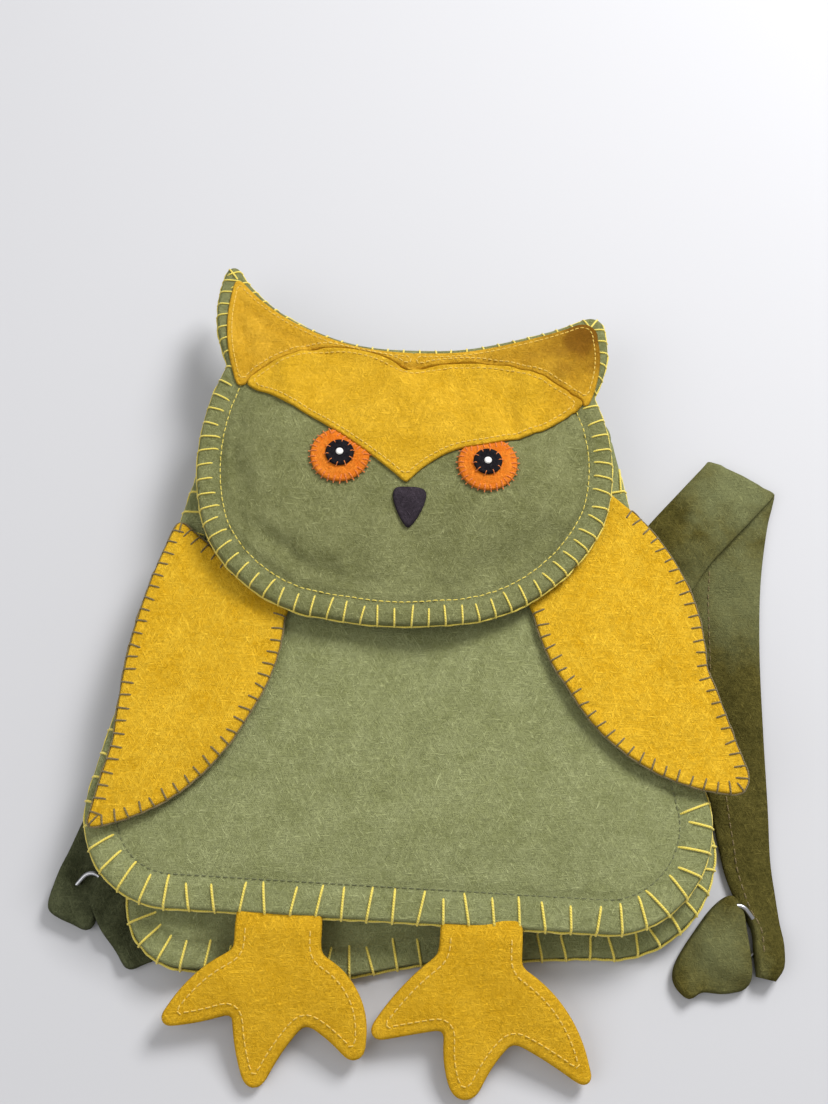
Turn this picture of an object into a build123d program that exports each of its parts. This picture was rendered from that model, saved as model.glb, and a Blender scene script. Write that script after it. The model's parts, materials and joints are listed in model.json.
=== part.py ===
"""Felt owl backpack, lying on its back with its straps beside it.

+Z comes out of the bag's front, +Y points to the head, +X to the right.
The origin lies on the bag's centreline, on the flat resting face of the back panel.
All sizes are in millimetres.
"""
import os
from math import asin, atan2, cos, degrees, hypot, radians, sin

from build123d import *

# ---- driving sizes -------------------------------------------------------------
felt = 3.0                # thickness of the green and the yellow felt
thin_felt = 2.0           # thickness of the small appliqued pieces
yarn = 1.0                # thickness of the blanket-stitch yarn along an edge
run_clearance = 0.4       # air between pieces that move past each other

bag_depth = 26.0          # from the floor to the outside of the front panel
rim_lift = 9.0            # how far the back panel's sides lift off the floor
seam_width = 14.0         # width of the sewn border round the bag
mouth_y = 95.0            # top edge of the front panel
bag_top_y = 118.0         # top edge of the back panel
flat_left_x = -74.0       # the back panel lies flat between these two lines
flat_right_x = 112.0
slope_width = 23.0        # width of the slope from the flat to the lifted rim

chin_gap = 5.6            # air between a wing and the head above it
eye_diameter = 28.5
pupil_diameter = 13.5
glint_diameter = 3.2
beak_width = 16.0
beak_length = 20.5

snap_diameter = 14.0
snap_washer_thickness = 0.8
snap_play = 0.9           # room round the stud, so that it tilts out of its socket

strap_thickness = 5.0
ring_wire = 2.2
ring_length = 22.0
ring_width = 16.0
ring_corner_radius = 5.0
ring_far_side_z = 2.8     # height of the ring's side inside the anchor tab

foot_layer = 2.5          # thickness of each of a foot's two layers
foot_hinge_z = 22.0
foot_reach = 67.0         # from the stem's top to the tip of the middle toe
foot_floor_gap = 0.3      # air between the toes' underside and the floor
foot_hinge_offset = 5.2   # how far the foot's fold lies outside the front seam

os.makedirs("parts", exist_ok=True)


def save(piece, name):
    """Label a finished piece and write it out."""
    piece.part.label = name
    export_step(piece.part, f"parts/{name}.step")


def outline(*points):
    """A closed outline of arcs: every second point is an arc's middle, or None for a straight line."""
    ends = points[2::2] + points[:1]
    with BuildSketch() as shape:
        with BuildLine():
            for start, middle, end in zip(points[::2], points[1::2], ends):
                if middle is None:
                    Line(start, end)
                else:
                    ThreePointArc(start, middle, end)
        make_face()
    return shape.sketch


# ---- heights of the layers, from the floor up ----------------------------------
front_bottom_z = bag_depth - felt
flange_bottom_z = front_bottom_z - felt
wing_bottom_z = bag_depth + run_clearance
wing_axis_z = wing_bottom_z + felt / 2
lining_bottom_z = wing_bottom_z + felt + chin_gap
face_bottom_z = lining_bottom_z + felt
face_top_z = face_bottom_z + felt
band_top_z = lining_bottom_z - run_clearance

# ---- outlines, seen from the front -----------------------------------------------
left_wing_root = [(-113, 44), (-59, -8)]
right_wing_root = [(106, 56), (60, 0)]

back_shape = outline(
    (94, bag_top_y), None, (-102, bag_top_y), (-109, bag_top_y - 3), (-112, bag_top_y - 12), (-107, -20),
    (-120, -141), (-112, -162), (-88, -171), None, (-17, -170), None, (14, -163), None, (92, -156),
    (131, -143), (147, -105), (121, 0), (101, bag_top_y - 14), (99, bag_top_y - 4))

front_shape = outline(
    (98, mouth_y), None, (-104, mouth_y), None, (-142, -98), (-132, -131), (-100, -146), None,
    (100, -147), (132, -129), (143, -92), None)

head_shape = outline(
    (-98, 120), (-108, 72), (-100, 30), (-80, 5), (-40, -11), (-4, -14), (32, -10), (72, 13),
    (93, 45), (96, 80), (87, 111), (94, 134), (93, 152), (90, 159), (83, 159), (40, 140), (-6, 133),
    (-52, 141), (-98, 178), (-103, 182), (-106, 178), (-107, 150))

brow_shape = outline(
    (-87, 111), None, (-87, 108), (-37, 80), (-4, 56), (9, 69), (25, 76.5), (55, 86), (80, 103), None,
    (82, 106), (35, 126), (-6, 119), (-50, 131))

left_wing_shape = outline(
    left_wing_root[0], (-128, -12), (-132, -74), None, (-139, -114), (-98, -95), (-70, -57),
    (-61, -33), left_wing_root[1], None)

right_wing_shape = outline(
    right_wing_root[0], None, right_wing_root[1], (66, -20), (78, -40), (110, -72), (157, -83), None,
    (160, -76), (152, -52), (142, -25), (132, 21))

brow_room = offset(brow_shape, amount=run_clearance)


# ---- the bag -------------------------------------------------------------------
reach = 220.0             # well beyond every outline

gusset_top_y = mouth_y - seam_width - felt


def dished_slab(low, high):
    """A slab between two heights over the floor that lifts at both sides of the bag."""
    with BuildPart() as slab:
        with BuildSketch(Plane.XZ.offset(reach)):
            with BuildLine():
                Polyline((-reach, rim_lift + low), (flat_left_x - slope_width, rim_lift + low),
                         (flat_left_x, low), (flat_right_x, low),
                         (flat_right_x + slope_width, rim_lift + low), (reach, rim_lift + low),
                         (reach, rim_lift + high), (flat_right_x + slope_width, rim_lift + high),
                         (flat_right_x, high), (flat_left_x, high),
                         (flat_left_x - slope_width, rim_lift + high), (-reach, rim_lift + high),
                         close=True)
            make_face()
        extrude(amount=-2 * reach)
    return slab.part


back_slab = dished_slab(0, felt)
flange_slab = dished_slab(felt, 2 * felt)
back_yarn_slab = dished_slab(felt / 2, 2 * felt)
above_flange = dished_slab(2 * felt, 4 * bag_depth)

with BuildPart() as back_panel:
    with BuildSketch():
        add(back_shape)
    extrude(amount=bag_depth)
    add(back_slab, mode=Mode.INTERSECT)
save(back_panel, "back_panel")

snap_xy = (-4, 14)
with BuildPart() as front_panel:
    with BuildSketch(Plane.XY.offset(front_bottom_z)):
        add(front_shape)
    extrude(amount=felt)
save(front_panel, "front_panel")

wall_outside = offset(front_shape, amount=-seam_width)
wall_inside = offset(front_shape, amount=-seam_width - felt)

with BuildPart() as back_flange:
    with BuildSketch():
        add(back_shape)
        add(wall_inside, mode=Mode.SUBTRACT)
    extrude(amount=bag_depth)
    add(flange_slab, mode=Mode.INTERSECT)

with BuildPart() as gusset:
    with BuildSketch():
        add(wall_outside)
        add(wall_inside, mode=Mode.SUBTRACT)
    extrude(amount=front_bottom_z)
    add(above_flange, mode=Mode.INTERSECT)
    with BuildSketch(Plane.XY.offset(flange_bottom_z)):
        add(front_shape)
        add(wall_inside, mode=Mode.SUBTRACT)
    extrude(amount=felt)
    add(back_flange.part)
    with Locations((0, gusset_top_y, 0)):
        Box(2 * reach, reach, reach, align=(Align.CENTER, Align.MIN, Align.CENTER), mode=Mode.SUBTRACT)
save(gusset, "gusset")

with BuildPart() as front_seam_yarn:
    with BuildSketch(Plane.XY.offset(flange_bottom_z)):
        add(offset(front_shape, amount=yarn, mode=Mode.PRIVATE))
        add(front_shape, mode=Mode.SUBTRACT)
        with Locations((0, mouth_y)):
            Rectangle(2 * reach, 2 * (seam_width + felt), mode=Mode.SUBTRACT)
    extrude(amount=2 * felt)
save(front_seam_yarn, "front_seam_yarn")

with BuildPart() as back_seam_yarn:
    with BuildSketch():
        add(offset(back_shape, amount=yarn, mode=Mode.PRIVATE))
        add(back_shape, mode=Mode.SUBTRACT)
        with Locations((0, bag_top_y)):
            Rectangle(2 * reach, 2 * (bag_top_y - gusset_top_y), mode=Mode.SUBTRACT)
    extrude(amount=bag_depth)
    add(back_yarn_slab, mode=Mode.INTERSECT)
save(back_seam_yarn, "back_seam_yarn")

# ---- the magnetic snap under the chin ------------------------------------------
snap_gap = lining_bottom_z - bag_depth
snap_half_height = (snap_gap - 0.2) / 2
stud_radius = snap_diameter / 4

with BuildPart() as snap_socket:
    with BuildSketch(Plane.XY.offset(bag_depth)):
        with Locations(snap_xy):
            Circle(snap_diameter / 2)
    extrude(amount=snap_half_height)
    with BuildSketch(Plane.XY.offset(bag_depth + snap_half_height)):
        with Locations(snap_xy):
            Circle(stud_radius + snap_play)
    extrude(amount=-snap_half_height / 2, mode=Mode.SUBTRACT)
save(snap_socket, "snap_socket")

with BuildPart() as snap_socket_washer:
    with BuildSketch(Plane.XY.offset(front_bottom_z - snap_washer_thickness)):
        with Locations(snap_xy):
            Circle(snap_diameter / 2)
    extrude(amount=snap_washer_thickness)
save(snap_socket_washer, "snap_socket_washer")

with BuildPart() as snap_stud:
    with BuildSketch(Plane.XY.offset(lining_bottom_z)):
        with Locations(snap_xy):
            Circle(snap_diameter / 2)
    extrude(amount=-snap_half_height)
    with BuildSketch(Plane.XY.offset(lining_bottom_z - snap_half_height)):
        with Locations(snap_xy):
            Circle(stud_radius)
    extrude(amount=-snap_half_height / 2 + run_clearance)
save(snap_stud, "snap_stud")

with BuildPart() as snap_stud_washer:
    with BuildSketch(Plane.XY.offset(face_bottom_z - snap_washer_thickness)):
        with Locations(snap_xy):
            Circle(snap_diameter / 2)
    extrude(amount=snap_washer_thickness)
save(snap_stud_washer, "snap_stud_washer")

# ---- the band that carries the head flap at the top of the bag --------------------
hinge_half_width = 88.0
hinge_centre_x = -5.0
with BuildPart() as top_band:
    with BuildSketch():
        with Locations((hinge_centre_x, bag_top_y + felt / 2)):
            Rectangle(2 * hinge_half_width, felt)
    extrude(amount=band_top_z)
save(top_band, "top_band")

# ---- the head flap -------------------------------------------------------------
with BuildPart() as head_lining:
    with BuildSketch(Plane.XY.offset(lining_bottom_z)):
        add(head_shape)
    extrude(amount=felt)
    with BuildSketch(Plane.XY.offset(face_bottom_z - snap_washer_thickness)):
        with Locations(snap_xy):
            Circle(snap_diameter / 2)
    extrude(amount=snap_washer_thickness, mode=Mode.SUBTRACT)
save(head_lining, "head_lining")

with BuildPart() as head_front:
    with BuildSketch(Plane.XY.offset(face_bottom_z)):
        add(head_shape)
    extrude(amount=felt)
save(head_front, "head_front")

with BuildPart() as head_edge_yarn:
    with BuildSketch(Plane.XY.offset(lining_bottom_z)):
        add(offset(head_shape, amount=yarn, mode=Mode.PRIVATE))
        add(head_shape, mode=Mode.SUBTRACT)
    extrude(amount=2 * felt)
save(head_edge_yarn, "head_edge_yarn")

with BuildPart() as brow:
    with BuildSketch(Plane.XY.offset(face_top_z)):
        add(brow_shape)
    extrude(amount=thin_felt)
save(brow, "brow")

ear_patches = {
    "left": outline((-92, 108), (-101, 146), (-100, 172), None, (-97, 172), (-50, 138), (-6, 130), None,
                    (-6, 108), None),
    "right": outline((84, 104), None, (-5, 108), None, (-5, 130), (40, 137), (80, 154), (87, 152),
                     (89, 145), (90, 130)),
}
for side, patch_shape in ear_patches.items():
    with BuildPart() as ear_patch:
        with BuildSketch(Plane.XY.offset(face_top_z)):
            add(patch_shape)
            add(brow_room, mode=Mode.SUBTRACT)
        extrude(amount=thin_felt)
    save(ear_patch, f"{side}_ear_patch")

eye_places = {"left": (-37, 69), "right": (35, 68)}
for side, eye_xy in eye_places.items():
    with BuildPart() as eye:
        with BuildSketch(Plane.XY.offset(face_top_z)):
            with Locations(eye_xy):
                Circle(eye_diameter / 2)
            add(brow_room, mode=Mode.SUBTRACT)
        extrude(amount=thin_felt)
    save(eye, f"{side}_eye")

    pupil_bottom_z = face_top_z + thin_felt
    with BuildPart() as pupil:
        with BuildSketch(Plane.XY.offset(pupil_bottom_z)):
            with Locations(eye_xy):
                Circle(pupil_diameter / 2)
        extrude(amount=thin_felt)
    save(pupil, f"{side}_pupil")

    with BuildPart() as eye_glint:
        with BuildSketch(Plane.XY.offset(pupil_bottom_z + thin_felt)):
            with Locations(eye_xy):
                Circle(glint_diameter / 2)
        extrude(amount=yarn)
    save(eye_glint, f"{side}_eye_glint")

beak_x = -2.0
beak_top_y = 54.0
with BuildPart() as beak:
    with BuildSketch(Plane.XY.offset(face_top_z)):
        with BuildLine():
            Spline((beak_x, beak_top_y - beak_length),
                   (beak_x - beak_width / 2 + 1.5, beak_top_y - beak_length / 2),
                   (beak_x - beak_width / 2 + 1, beak_top_y - 1.5), (beak_x, beak_top_y),
                   (beak_x + beak_width / 2 - 1, beak_top_y - 1.5),
                   (beak_x + beak_width / 2 - 1.5, beak_top_y - beak_length / 2),
                   (beak_x, beak_top_y - beak_length))
        make_face()
        add(brow_room, mode=Mode.SUBTRACT)
    extrude(amount=thin_felt)
save(beak, "beak")

# ---- the wings -----------------------------------------------------------------
wing_shapes = {"left": (left_wing_shape, left_wing_root), "right": (right_wing_shape, right_wing_root)}
for side, (shape, root) in wing_shapes.items():
    start, end = root
    root_length = hypot(end[0] - start[0], end[1] - start[1])
    along_root = ((end[0] - start[0]) / root_length, (end[1] - start[1]) / root_length, 0)
    root_plane = Plane(origin=(*start, wing_axis_z), z_dir=along_root)
    with BuildPart() as wing:
        with BuildSketch(Plane.XY.offset(wing_bottom_z)):
            add(shape)
        extrude(amount=felt)
        with BuildSketch(root_plane):
            Circle(felt / 2)
        extrude(amount=root_length)
    save(wing, f"{side}_wing")

    root_angle = degrees(atan2(along_root[1], along_root[0]))
    with BuildPart() as wing_yarn:
        with BuildSketch(Plane.XY.offset(wing_bottom_z)):
            add(offset(shape, amount=yarn, mode=Mode.PRIVATE))
            add(shape, mode=Mode.SUBTRACT)
            with Locations(Location(((start[0] + end[0]) / 2, (start[1] + end[1]) / 2, 0),
                                    (0, 0, root_angle))):
                Rectangle(root_length + 4 * felt, 3 * felt, mode=Mode.SUBTRACT)
        extrude(amount=felt)
    save(wing_yarn, f"{side}_wing_yarn")

# ---- the feet ------------------------------------------------------------------
foot_slope = degrees(asin((foot_hinge_z - foot_layer - foot_floor_gap) / foot_reach))
feet = {
    "left": (-49.5, -148.5, outline(
        (19, 0), None, (-19, 0), None, (-19, -8), (-36, -20), (-48, -36), (-49, -41), (-44, -42),
        (-30, -39), (-18, -35), (-16, -50), (-12, -63), (-7, -foot_reach), (-2, -63), (5, -50),
        (14, -38), (24, -44), (33, -52), (39, -52), (41, -46), (38, -26), (19, -8), None)),
    "right": (40.5, -148.5, outline(
        (18, 0), None, (-18, 0), None, (-18, -5), (-32, -18), (-46, -37), (-46, -42), (-41, -43),
        (-28, -40), (-14, -37), (-14, -50), (-11, -62), (-4, -foot_reach), (2, -63), (8, -51),
        (16, -41), (32, -49), (45, -57), (50, -57), (50, -52), (41, -30), (18, -9), None)),
}
for side, (foot_x, seam_y, foot_shape) in feet.items():
    hinge_y = seam_y - foot_hinge_offset
    foot_plane = Plane(origin=(foot_x, hinge_y, foot_hinge_z), x_dir=(1, 0, 0),
                       z_dir=(0, -sin(radians(foot_slope)), cos(radians(foot_slope))))
    for layer_name, layer_bottom in (("back", -foot_layer), ("front", 0)):
        with BuildPart() as foot_piece:
            with BuildSketch(foot_plane.offset(layer_bottom)):
                add(foot_shape)
            extrude(amount=foot_layer)
        save(foot_piece, f"{side}_foot_{layer_name}")

# ---- the straps, their rings and their anchor tabs -----------------------------
ring_near_side_z = strap_thickness + ring_wire / 2 + run_clearance
ring_tilt = degrees(asin((ring_near_side_z - ring_far_side_z) / ring_width))


def ring_solid(ring_plane, wire_radius):
    """The ring, or with a larger radius the channel that it runs in."""
    with BuildSketch(ring_plane) as loop:
        RectangleRounded(ring_length, ring_width, ring_corner_radius)
    path = loop.sketch.wire()
    with BuildPart() as ring:
        with BuildSketch(Plane(origin=path @ 0, z_dir=path % 0)):
            Circle(wire_radius)
        sweep(path=path)
    return ring.part


strap_outlines = {
    "right": [(119, 50), (151, 94), (185, 77), (186, 72), (178, 53), (174, 5), (175, -108), (179, -152),
              (174, -162), (166, -162), (160, -128), (141, -104), (139, 0), (141, 24)],
    "left": [(-99, 28), (-118, 22), (-129, -5), (-133, -66), (-151, -116), (-157, -145), (-149, -149),
             (-136, -154), (-134, -128), (-112, -88), (-99, -50)],
}
upper_runs = {
    "right": [(116, 53), (151, 94), (185, 77), (143, 26)],
}
tab_outlines = {
    "right": [(133, -150), (147, -131), (155, -124), (160, -129), (163, -163), (152, -168), (141, -168),
              (136, -172), (128, -163)],
    "left": [(-134, -126), (-120, -142), (-104, -158), (-105, -166), (-118, -172), (-123, -166),
             (-133, -154), (-140, -134)],
}
ring_places = {"right": ((159.6, -141.3), -52.0), "left": ((-140.6, -142.3), 52.0)}

for side, strap_outline in strap_outlines.items():
    (ring_x, ring_y), ring_turn = ring_places[side]
    ring_z = (ring_near_side_z + ring_far_side_z) / 2
    ring_plane = Plane(Location((ring_x, ring_y, ring_z), (0, 0, ring_turn))).rotated((ring_tilt, 0, 0))
    channel = ring_solid(ring_plane, ring_wire / 2 + run_clearance)

    with BuildPart() as strap:
        with BuildSketch():
            with BuildLine():
                Polyline(*strap_outline, close=True)
            make_face()
        extrude(amount=strap_thickness)
        if side in upper_runs:
            with BuildSketch(Plane.XY.offset(strap_thickness)):
                with BuildLine():
                    Polyline(*upper_runs[side], close=True)
                make_face()
            extrude(amount=strap_thickness)
        add(channel, mode=Mode.SUBTRACT)
        with BuildSketch():
            with BuildLine():
                Polyline(*tab_outlines[side], close=True)
            make_face()
            offset(amount=run_clearance)
        extrude(amount=2 * strap_thickness, mode=Mode.SUBTRACT)
    save(strap, f"{side}_strap")

    with BuildPart() as tab:
        with BuildSketch():
            with BuildLine():
                Polyline(*tab_outlines[side], close=True)
            make_face()
        extrude(amount=2 * felt)
        add(channel, mode=Mode.SUBTRACT)
    save(tab, f"{side}_tab")

    with BuildPart() as ring:
        add(ring_solid(ring_plane, ring_wire / 2))
    save(ring, f"{side}_ring")
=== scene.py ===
# %% [markdown]
# # A felt owl backpack
# The bag is sewn by hand from thick wool felt: a flat back, a front, a gusset between them, and
# an owl's head that folds over the mouth as the lid. Wings, feet and straps are loose felt pieces.
# The CAD frame gives every piece its place, and this script gives each piece its soft shape.

# %% Frame, units and names
import json
import math
import bmesh
import bpy
import numpy as np
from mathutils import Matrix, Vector
from mathutils.bvhtree import BVHTree
from mathutils.geometry import delaunay_2d_cdt


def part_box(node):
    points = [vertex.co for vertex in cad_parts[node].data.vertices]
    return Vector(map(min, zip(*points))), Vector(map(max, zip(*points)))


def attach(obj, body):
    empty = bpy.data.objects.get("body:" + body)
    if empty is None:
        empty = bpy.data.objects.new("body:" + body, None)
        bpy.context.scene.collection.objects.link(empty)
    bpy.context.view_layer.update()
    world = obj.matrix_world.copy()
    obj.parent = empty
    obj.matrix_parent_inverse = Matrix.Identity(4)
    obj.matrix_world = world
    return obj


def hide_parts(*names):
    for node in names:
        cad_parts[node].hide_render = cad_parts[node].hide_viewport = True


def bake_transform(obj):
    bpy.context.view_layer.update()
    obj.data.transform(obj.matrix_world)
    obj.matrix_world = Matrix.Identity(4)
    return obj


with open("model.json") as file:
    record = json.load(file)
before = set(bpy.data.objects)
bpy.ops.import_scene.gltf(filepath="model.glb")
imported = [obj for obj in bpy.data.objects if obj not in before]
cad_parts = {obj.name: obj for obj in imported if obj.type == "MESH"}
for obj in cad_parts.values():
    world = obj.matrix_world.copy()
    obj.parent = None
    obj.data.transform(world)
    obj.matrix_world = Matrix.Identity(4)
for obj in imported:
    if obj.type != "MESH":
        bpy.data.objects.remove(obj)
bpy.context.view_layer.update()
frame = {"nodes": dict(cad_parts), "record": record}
mm = 0.001
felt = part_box("front_panel")[1][2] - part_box("front_panel")[0][2]
print("felt thickness in mm:", round(felt / mm, 2))

# %% [markdown]
# ## Camera
# The bag lies on a table and is seen from above its feet, a little to the right of straight on.

# %% Camera
aim = Vector((1 * mm, 33 * mm, 14 * mm))
azimuth, elevation, distance = math.radians(3), math.radians(69), 0.645
camera_data = bpy.data.cameras.new("camera")
camera_data.lens = 42
camera_data.sensor_width = 36
camera = bpy.data.objects.new("camera", camera_data)
bpy.context.scene.collection.objects.link(camera)
outward = Vector((math.sin(azimuth) * math.cos(elevation), -math.cos(azimuth) * math.cos(elevation),
                  math.sin(elevation)))
camera.location = aim + outward * distance
camera.rotation_euler = (-outward).to_track_quat("-Z", "Y").to_euler()
bpy.context.scene.camera = camera

# %% [markdown]
# ## Outlines
# A felt piece is cut from a sheet, so its outline says most about it. The outline comes from the
# upper faces of the CAD plate. It is spaced evenly and softened a little, as scissors leave it.

# %% Outline helpers
def smooth(t):
    t = np.clip(t, 0, 1)
    return t * t * (3 - 2 * t)


def even_ring(points, step, softening=2):
    ring = np.asarray(points, float)[:, :2]
    following = np.roll(ring, -1, 0)
    if (ring[:, 0] * following[:, 1] - following[:, 0] * ring[:, 1]).sum() < 0:
        ring = ring[::-1]
    closed = np.vstack([ring, ring[:1]])
    along = np.concatenate([[0], np.cumsum(np.linalg.norm(np.diff(closed, axis=0), axis=1))])
    places = np.linspace(0, along[-1], max(12, int(round(along[-1] / step))), endpoint=False)
    ring = np.column_stack([np.interp(places, along, closed[:, k]) for k in (0, 1)])
    for _ in range(softening):
        ring = (np.roll(ring, 1, 0) + 2 * ring + np.roll(ring, -1, 0)) / 4
    return ring


def outward_of(ring):
    along = np.roll(ring, -1, 0) - np.roll(ring, 1, 0)
    along /= np.linalg.norm(along, axis=1)[:, None] + 1e-12
    return np.column_stack([along[:, 1], -along[:, 0]])


def edge_distance(points, ring):
    run = np.roll(ring, -1, 0) - ring
    length2 = (run ** 2).sum(1) + 1e-18
    found = np.empty(len(points))
    for first in range(0, len(points), 1500):
        p = points[first:first + 1500, None, :]
        t = np.clip(((p - ring) * run).sum(2) / length2, 0, 1)
        found[first:first + 1500] = np.sqrt(((ring + t[..., None] * run - p) ** 2).sum(2)).min(1)
    return found


def is_inside(points, ring):
    inside = np.zeros(len(points), bool)
    for (x0, y0), (x1, y1) in zip(ring, np.roll(ring, -1, 0)):
        if y0 != y1:
            crosses = (y0 > points[:, 1]) != (y1 > points[:, 1])
            inside ^= crosses & (points[:, 0] < (x1 - x0) * (points[:, 1] - y0) / (y1 - y0) + x0)
    return inside


def inset(ring, depth, step=1.6 * mm):
    moved = ring - outward_of(ring) * depth
    keep = (edge_distance(moved, ring) > 0.94 * depth) & is_inside(moved, ring)
    return even_ring(moved[keep], step)


def ring_of(node, step=1.6 * mm, softening=2):
    """The outline of a CAD plate, seen from above."""
    bm = bmesh.new()
    bm.from_mesh(frame["nodes"][node].data)
    bmesh.ops.remove_doubles(bm, verts=bm.verts, dist=1e-6)
    bm.normal_update()
    upper = {face for face in bm.faces if face.normal.z > 0.5}
    border = [edge for edge in bm.edges if sum(face in upper for face in edge.link_faces) == 1]
    beside = {}
    for edge in border:
        a, b = edge.verts
        beside.setdefault(a, []).append(b)
        beside.setdefault(b, []).append(a)
    longest, seen = [], set()
    for start in beside:
        if start in seen:
            continue
        loop, here, last = [], start, None
        while here is not None and here not in seen:
            seen.add(here)
            loop.append((here.co.x, here.co.y))
            onward = [v for v in beside[here] if v is not last and v not in seen]
            last, here = here, (onward[0] if onward else None)
        if len(loop) > len(longest):
            longest = loop
    bm.free()
    return even_ring(longest, step, softening)


def open_part(ring, wanted):
    """The run of an outline where wanted is true, in order."""
    starts = [i for i in range(len(ring)) if wanted[i] and not wanted[i - 1]]
    first = starts[0] if starts else int(ring[:, 1].argmax())
    return ring[(np.arange(int(wanted.sum())) + first) % len(ring)]


def curved_ring(points_mm, step=1.6 * mm):
    """A smooth closed outline through a few points."""
    p = np.asarray(points_mm, float) * mm
    before, after, beyond = np.roll(p, 1, 0), np.roll(p, -1, 0), np.roll(p, -2, 0)
    rows = []
    for t in np.linspace(0, 1, 12, endpoint=False):
        rows.append(0.5 * (2 * p + (after - before) * t + (2 * before - 5 * p + 4 * after - beyond) * t ** 2
                           + (3 * p - before - 3 * after + beyond) * t ** 3))
    return even_ring(np.stack(rows, 1).reshape(-1, 2), step)


def ripple(x, y, wave, seed):
    """Soft unevenness from a few crossing waves, about -1 to 1."""
    draw = np.random.default_rng(seed)
    total = np.zeros_like(x)
    for _ in range(6):
        turn, phase = draw.uniform(0, 2 * math.pi, 2)
        rate = 2 * math.pi / (wave * draw.uniform(0.7, 1.5))
        total += np.sin(rate * (x * math.cos(turn) + y * math.sin(turn)) + phase)
    return total / 3.2


# %% [markdown]
# ## A piece of felt
# Every piece is a closed mesh: an upper and a lower face of small triangles and a rounded cut edge.
# The heights of both faces are functions of the place and of the distance to the edge, so a border,
# a sewn groove or a drooping tip is one formula.

# %% Felt piece
finished = {}


def mesh_object(name, verts, faces, material=None):
    mesh = bpy.data.meshes.new(name)
    mesh.from_pydata([tuple(map(float, v)) for v in verts], [], faces)
    mesh.update()
    mesh.polygons.foreach_set("use_smooth", [True] * len(mesh.polygons))
    obj = bpy.data.objects.new(name, mesh)
    bpy.context.scene.collection.objects.link(obj)
    if material:
        mesh.materials.append(material)
    return obj


def felt_piece(name, ring, top, bottom, step=3 * mm, edge=1.3 * mm, wall=((0.5, 0.25),), material=None):
    """top and bottom give heights for arrays x, y and d, the distance from the cut edge."""
    sideways = outward_of(ring)
    points = [ring]
    for share in (0.12, 0.45, 1.0, 1.9):
        moved = ring - sideways * edge * share
        keep = (edge_distance(moved, ring) > 0.9 * edge * share) & is_inside(moved, ring)
        points.append(moved[keep])
    low, high = ring.min(0), ring.max(0)
    rows = np.arange(low[1], high[1], step * 0.866)
    grid = [np.column_stack([np.arange(low[0] + (k % 2) * step / 2, high[0], step),
                             np.full(len(np.arange(low[0] + (k % 2) * step / 2, high[0], step)), y)])
            for k, y in enumerate(rows)]
    grid = np.vstack(grid)
    grid = grid[is_inside(grid, ring)]
    grid = grid[edge_distance(grid, ring) > 1.9 * edge + 0.55 * step]
    points = np.vstack([*points, grid])
    count = len(ring)
    loop = [(i, (i + 1) % count) for i in range(count)]
    flat, _, triangles, origin, _, _ = delaunay_2d_cdt([Vector(p) for p in points], loop, [], 1, 1e-7)
    place = np.array([tuple(v) for v in flat])
    where = {source: k for k, sources in enumerate(origin) for source in sources}
    rim = [where[i] for i in range(count)]
    d = edge_distance(place, ring)
    d[rim] = 0
    drop = edge - np.sqrt(np.maximum(0, edge ** 2 - (edge - np.minimum(d, edge)) ** 2))
    upper = top(place[:, 0], place[:, 1], d) - drop
    lower = bottom(place[:, 0], place[:, 1], d) + drop
    lower = np.minimum(lower, upper - 0.05 * mm)
    total = len(place)
    verts = [(*p, z) for p, z in zip(place, upper)] + [(*p, z) for p, z in zip(place, lower)]
    faces = []
    for triangle in triangles:
        a, b, c = (place[i] for i in triangle)
        turn = (b[0] - a[0]) * (c[1] - a[1]) - (b[1] - a[1]) * (c[0] - a[0])
        order = list(triangle) if turn > 0 else list(triangle)[::-1]
        faces.append(order)
        faces.append([i + total for i in order[::-1]])
    levels = [rim]
    for share, push in wall:
        first = len(verts)
        for i, out in zip(rim, sideways):
            x, y = place[i] + out * push * mm
            verts.append((x, y, upper[i] + share * (lower[i] - upper[i])))
        levels.append(list(range(first, first + count)))
    levels.append([i + total for i in rim])
    for above, below in zip(levels, levels[1:]):
        for i in range(count):
            j = (i + 1) % count
            faces.append([below[i], below[j], above[j], above[i]])
    obj = mesh_object(name, verts, faces, material)
    middle = (upper[rim] + lower[rim]) / 2
    area = abs((ring[:, 0] * np.roll(ring, -1, 0)[:, 1] - np.roll(ring, -1, 0)[:, 0] * ring[:, 1]).sum()) / 2
    finished[name] = {"obj": obj, "ring": ring, "middle": middle, "area": area,
                      "size": tuple(np.maximum(high - low, 0.0101))}
    print(f"{name}: {len(obj.data.polygons)} faces, {area * 1e4:.1f} cm2")
    return obj


def height_over(obj):
    """The height of a piece's upper side at any place on it."""
    tree = BVHTree.FromPolygons([v.co for v in obj.data.vertices], [p.vertices for p in obj.data.polygons])

    def height(x, y):
        found = []
        for px, py in zip(x, y):
            spot = tree.ray_cast(Vector((px, py, 0.3)), Vector((0, 0, -1)))[0]
            if spot is None:
                spot = tree.find_nearest(Vector((px, py, 0.03)))[0]
            found.append(spot.z)
        return np.array(found)
    return height


def declare_sheet(name):
    piece = finished[name]
    width, length = (float(v) for v in piece["size"])
    if not 0.3 <= piece["area"] / (width * length) <= 1.0:
        share = piece["area"] / (width * length)
        print(f"{name}: outline fills {share:.3f} of its box, declared at the nearest of 0.3 and 1.0")


# %% [markdown]
# ## Wool felt
# Thick wool felt is a mat of fibres: cloudy colour a centimetre across, a fine grain, short loose
# hairs, and no weave. One node group makes the cloudiness, the grain and the height of the fibres,
# and each felt material gives it its own colours and soft patches of another colour.

# %% Node helpers
def linear(r, g, b):
    def one(c):
        c /= 255
        return c / 12.92 if c <= 0.04045 else ((c + 0.055) / 1.055) ** 2.4
    return (one(r), one(g), one(b), 1.0)


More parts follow.
